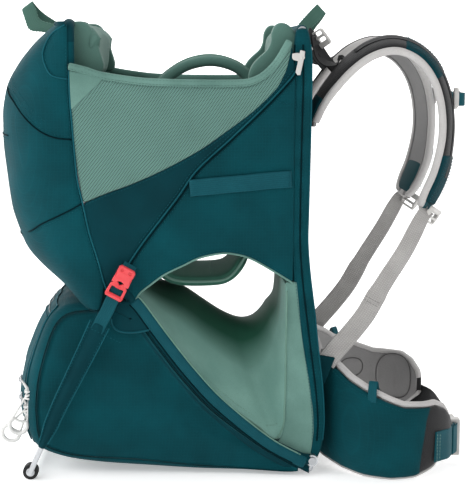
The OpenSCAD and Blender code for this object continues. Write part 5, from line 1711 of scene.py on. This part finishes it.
seat = cushion_sweep("seat_cushion", [(x, 0, z) for x, z in SEAT], (0, 1, 0), 166, 19, SAGE_DEEP, power=0.35,
                     ends=3)
piece(press_up(seat), "child_seat", ["child_seat"])
path = smooth([(x, 0, z) for x, z in SEAT], 60)
for side, s in SIDES:
    line = [(x, s * 82, z) for x, _, z in path[1:-1]]
    piece(press_up(tube(f"{side}_seat_piping", line, 2.2, SAGE_BAND, 100)), "child_seat")
tan = tangents(path)
rows = [[tuple(path[k] + arr((tan[k][2], 0, -tan[k][0])) * -10.2 + (0, y, 0)) for y in range(-72, 73, 12)]
        for k in (14, 26, 38, 48)]
piece(press_up(stitches("seat_quilting", rows, SAGE_BAND, 4, 2, 0.6)), "child_seat")
HALO = [(-121, 556), (-112, 590), (-90, 612), (-60, 627), (-25, 631), (10, 620), (32, 596), (36, 560),
        (30, 520)]
for side, s in SIDES:
    arch = sweep(f"{side}_shoulder_arch", smooth([(x, s * 60, z) for x, z in HALO], 70),
                 round_section(14, 8.6, 18, 0.8), (0, 1, 0), SAGE_PAD, subdiv=1)
    piece(arch, "child_seat", ["child_harness"] if s < 0 else [])
    seam = smooth([(x, s * 60, z) for x, z in HALO], 70)
    nrm = tangents(seam)
    line = [tuple(seam[k] + arr((-nrm[k][2], 0, nrm[k][0])) * 8.8) for k in range(2, 68, 3)]
    piece(tube(f"{side}_arch_seam", line, 1.2, SAGE_BAND, 80, sides=6), "child_seat")
bib = panel_pad("chest_pad", (30.5, 0, 519), (17, 122, 30), SAGE_PAD, power=0.4)
modifier(bib, "SUBSURF", levels=1, render_levels=1)
piece(bib, "child_seat")
clasp = solid("chest_buckle", rounded(34, 22, 6, 0, 519),
              [rounded(4, 16, 1, -9, 519), rounded(4, 16, 1, 9, 519)], 6,
              BLACK_PLASTIC, (41, 0, 0), ((0, 1, 0), (0, 0, 1), (1, 0, 0)), 1.6, 0)
piece(clasp, "child_seat")

# --------------------------------------- finishes of the CAD parts that show
FINISHES = {
    "front_tube_left": ALUMINIUM, "front_tube_right": ALUMINIUM, "front_top_tube": ALUMINIUM,
    "front_bottom_tube": ALUMINIUM, "hoop_pins": STEEL, "hoop_tube_left": ALUMINIUM,
            "hoop_tube_right": ALUMINIUM,
    "hoop_top_tube": ALUMINIUM, "kick_pins": STEEL, "kick_rod_left": ALUMINIUM, "kick_rod_right": ALUMINIUM,
    "kick_crossbar": ALUMINIUM, "kick_feet": RUBBER,
}
for name, material in FINISHES.items():
    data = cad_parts[name].data
    data.materials.clear()
    data.materials.append(material)


# ------------------------------------------------------------------ studio
def paper(name, glow):
    """White studio paper that gives off a little light of its own."""
    n = Nodes(name)
    white = n.mix(n.noise(3.0), rgb("FFFFFF"), rgb("FDFDFD"))
    n.finish(white, 0.9, n.noise(50.0), 0.02, 0.0001, specular=0.0)
    n.bsdf.inputs["Emission Color"].default_value = (1, 1, 1, 1)
    n.bsdf.inputs["Emission Strength"].default_value = glow
    return n.material


def studio():
    """A plain pale floor and backdrop, soft lights and the camera."""
    scene = bpy.context.scene
    floor = make("studio_floor", [(-9000, -9000, -0.4), (9000, -9000, -0.4), (9000, 9000, -0.4),
                                  (-9000, 9000, -0.4)], [(0, 1, 2, 3)], paper("studio_paper", 0.35))
    wall = make("studio_wall", [(-30000, 9000, -9000), (30000, 9000, -9000), (30000, 9000, 20000),
                                (-30000, 9000, 20000)], [(0, 1, 2, 3)], paper("studio_backdrop", 1.0))
    world = bpy.data.worlds.new("studio")
    scene.world = world
    world.use_nodes = True
    world.node_tree.nodes["Background"].inputs[0].default_value = (1, 1, 1, 1)
    world.node_tree.nodes["Background"].inputs[1].default_value = 0.55
    for name, place, aim, size, energy in (
            ("key", (-1.6, -1.9, 1.9), (-0.1, 0, 0.4), 1.6, 20),
            ("left", (-2.5, -0.5, 1.3), (-0.2, 0, 0.35), 1.4, 24),
            ("fill", (1.9, -1.7, 1.2), (0.1, 0, 0.35), 1.8, 8),
            ("top", (0.0, 0.2, 2.6), (0, 0, 0.2), 2.2, 12),
            ("rim", (-0.8, 2.2, 1.6), (0, 0, 0.4), 1.6, 14)):
        light = bpy.data.lights.new(name, "AREA")
        light.shape, light.size, light.energy = "DISK", size, energy
        obj = bpy.data.objects.new(name, light)
        obj.location = place
        obj.rotation_euler = (Vector(aim) - Vector(place)).to_track_quat("-Z", "Y").to_euler()
        scene.collection.objects.link(obj)
    cam = bpy.data.cameras.new("camera")
    cam.sensor_width, cam.lens = 36, 94.5
    obj = bpy.data.objects.new("camera", cam)
    scene.collection.objects.link(obj)
    obj.location = (-0.0485, -2.1, 0.655)
    yaw, pitch = math.atan(33 / 1313), math.atan(205 / math.hypot(1313, 33))
    aim = Vector((math.sin(yaw) * math.cos(pitch), math.cos(yaw) * math.cos(pitch), -math.sin(pitch)))
    obj.rotation_euler = aim.to_track_quat("-Z", "Y").to_euler()
    scene.camera = obj
    scene.view_settings.view_transform = "Standard"


studio()
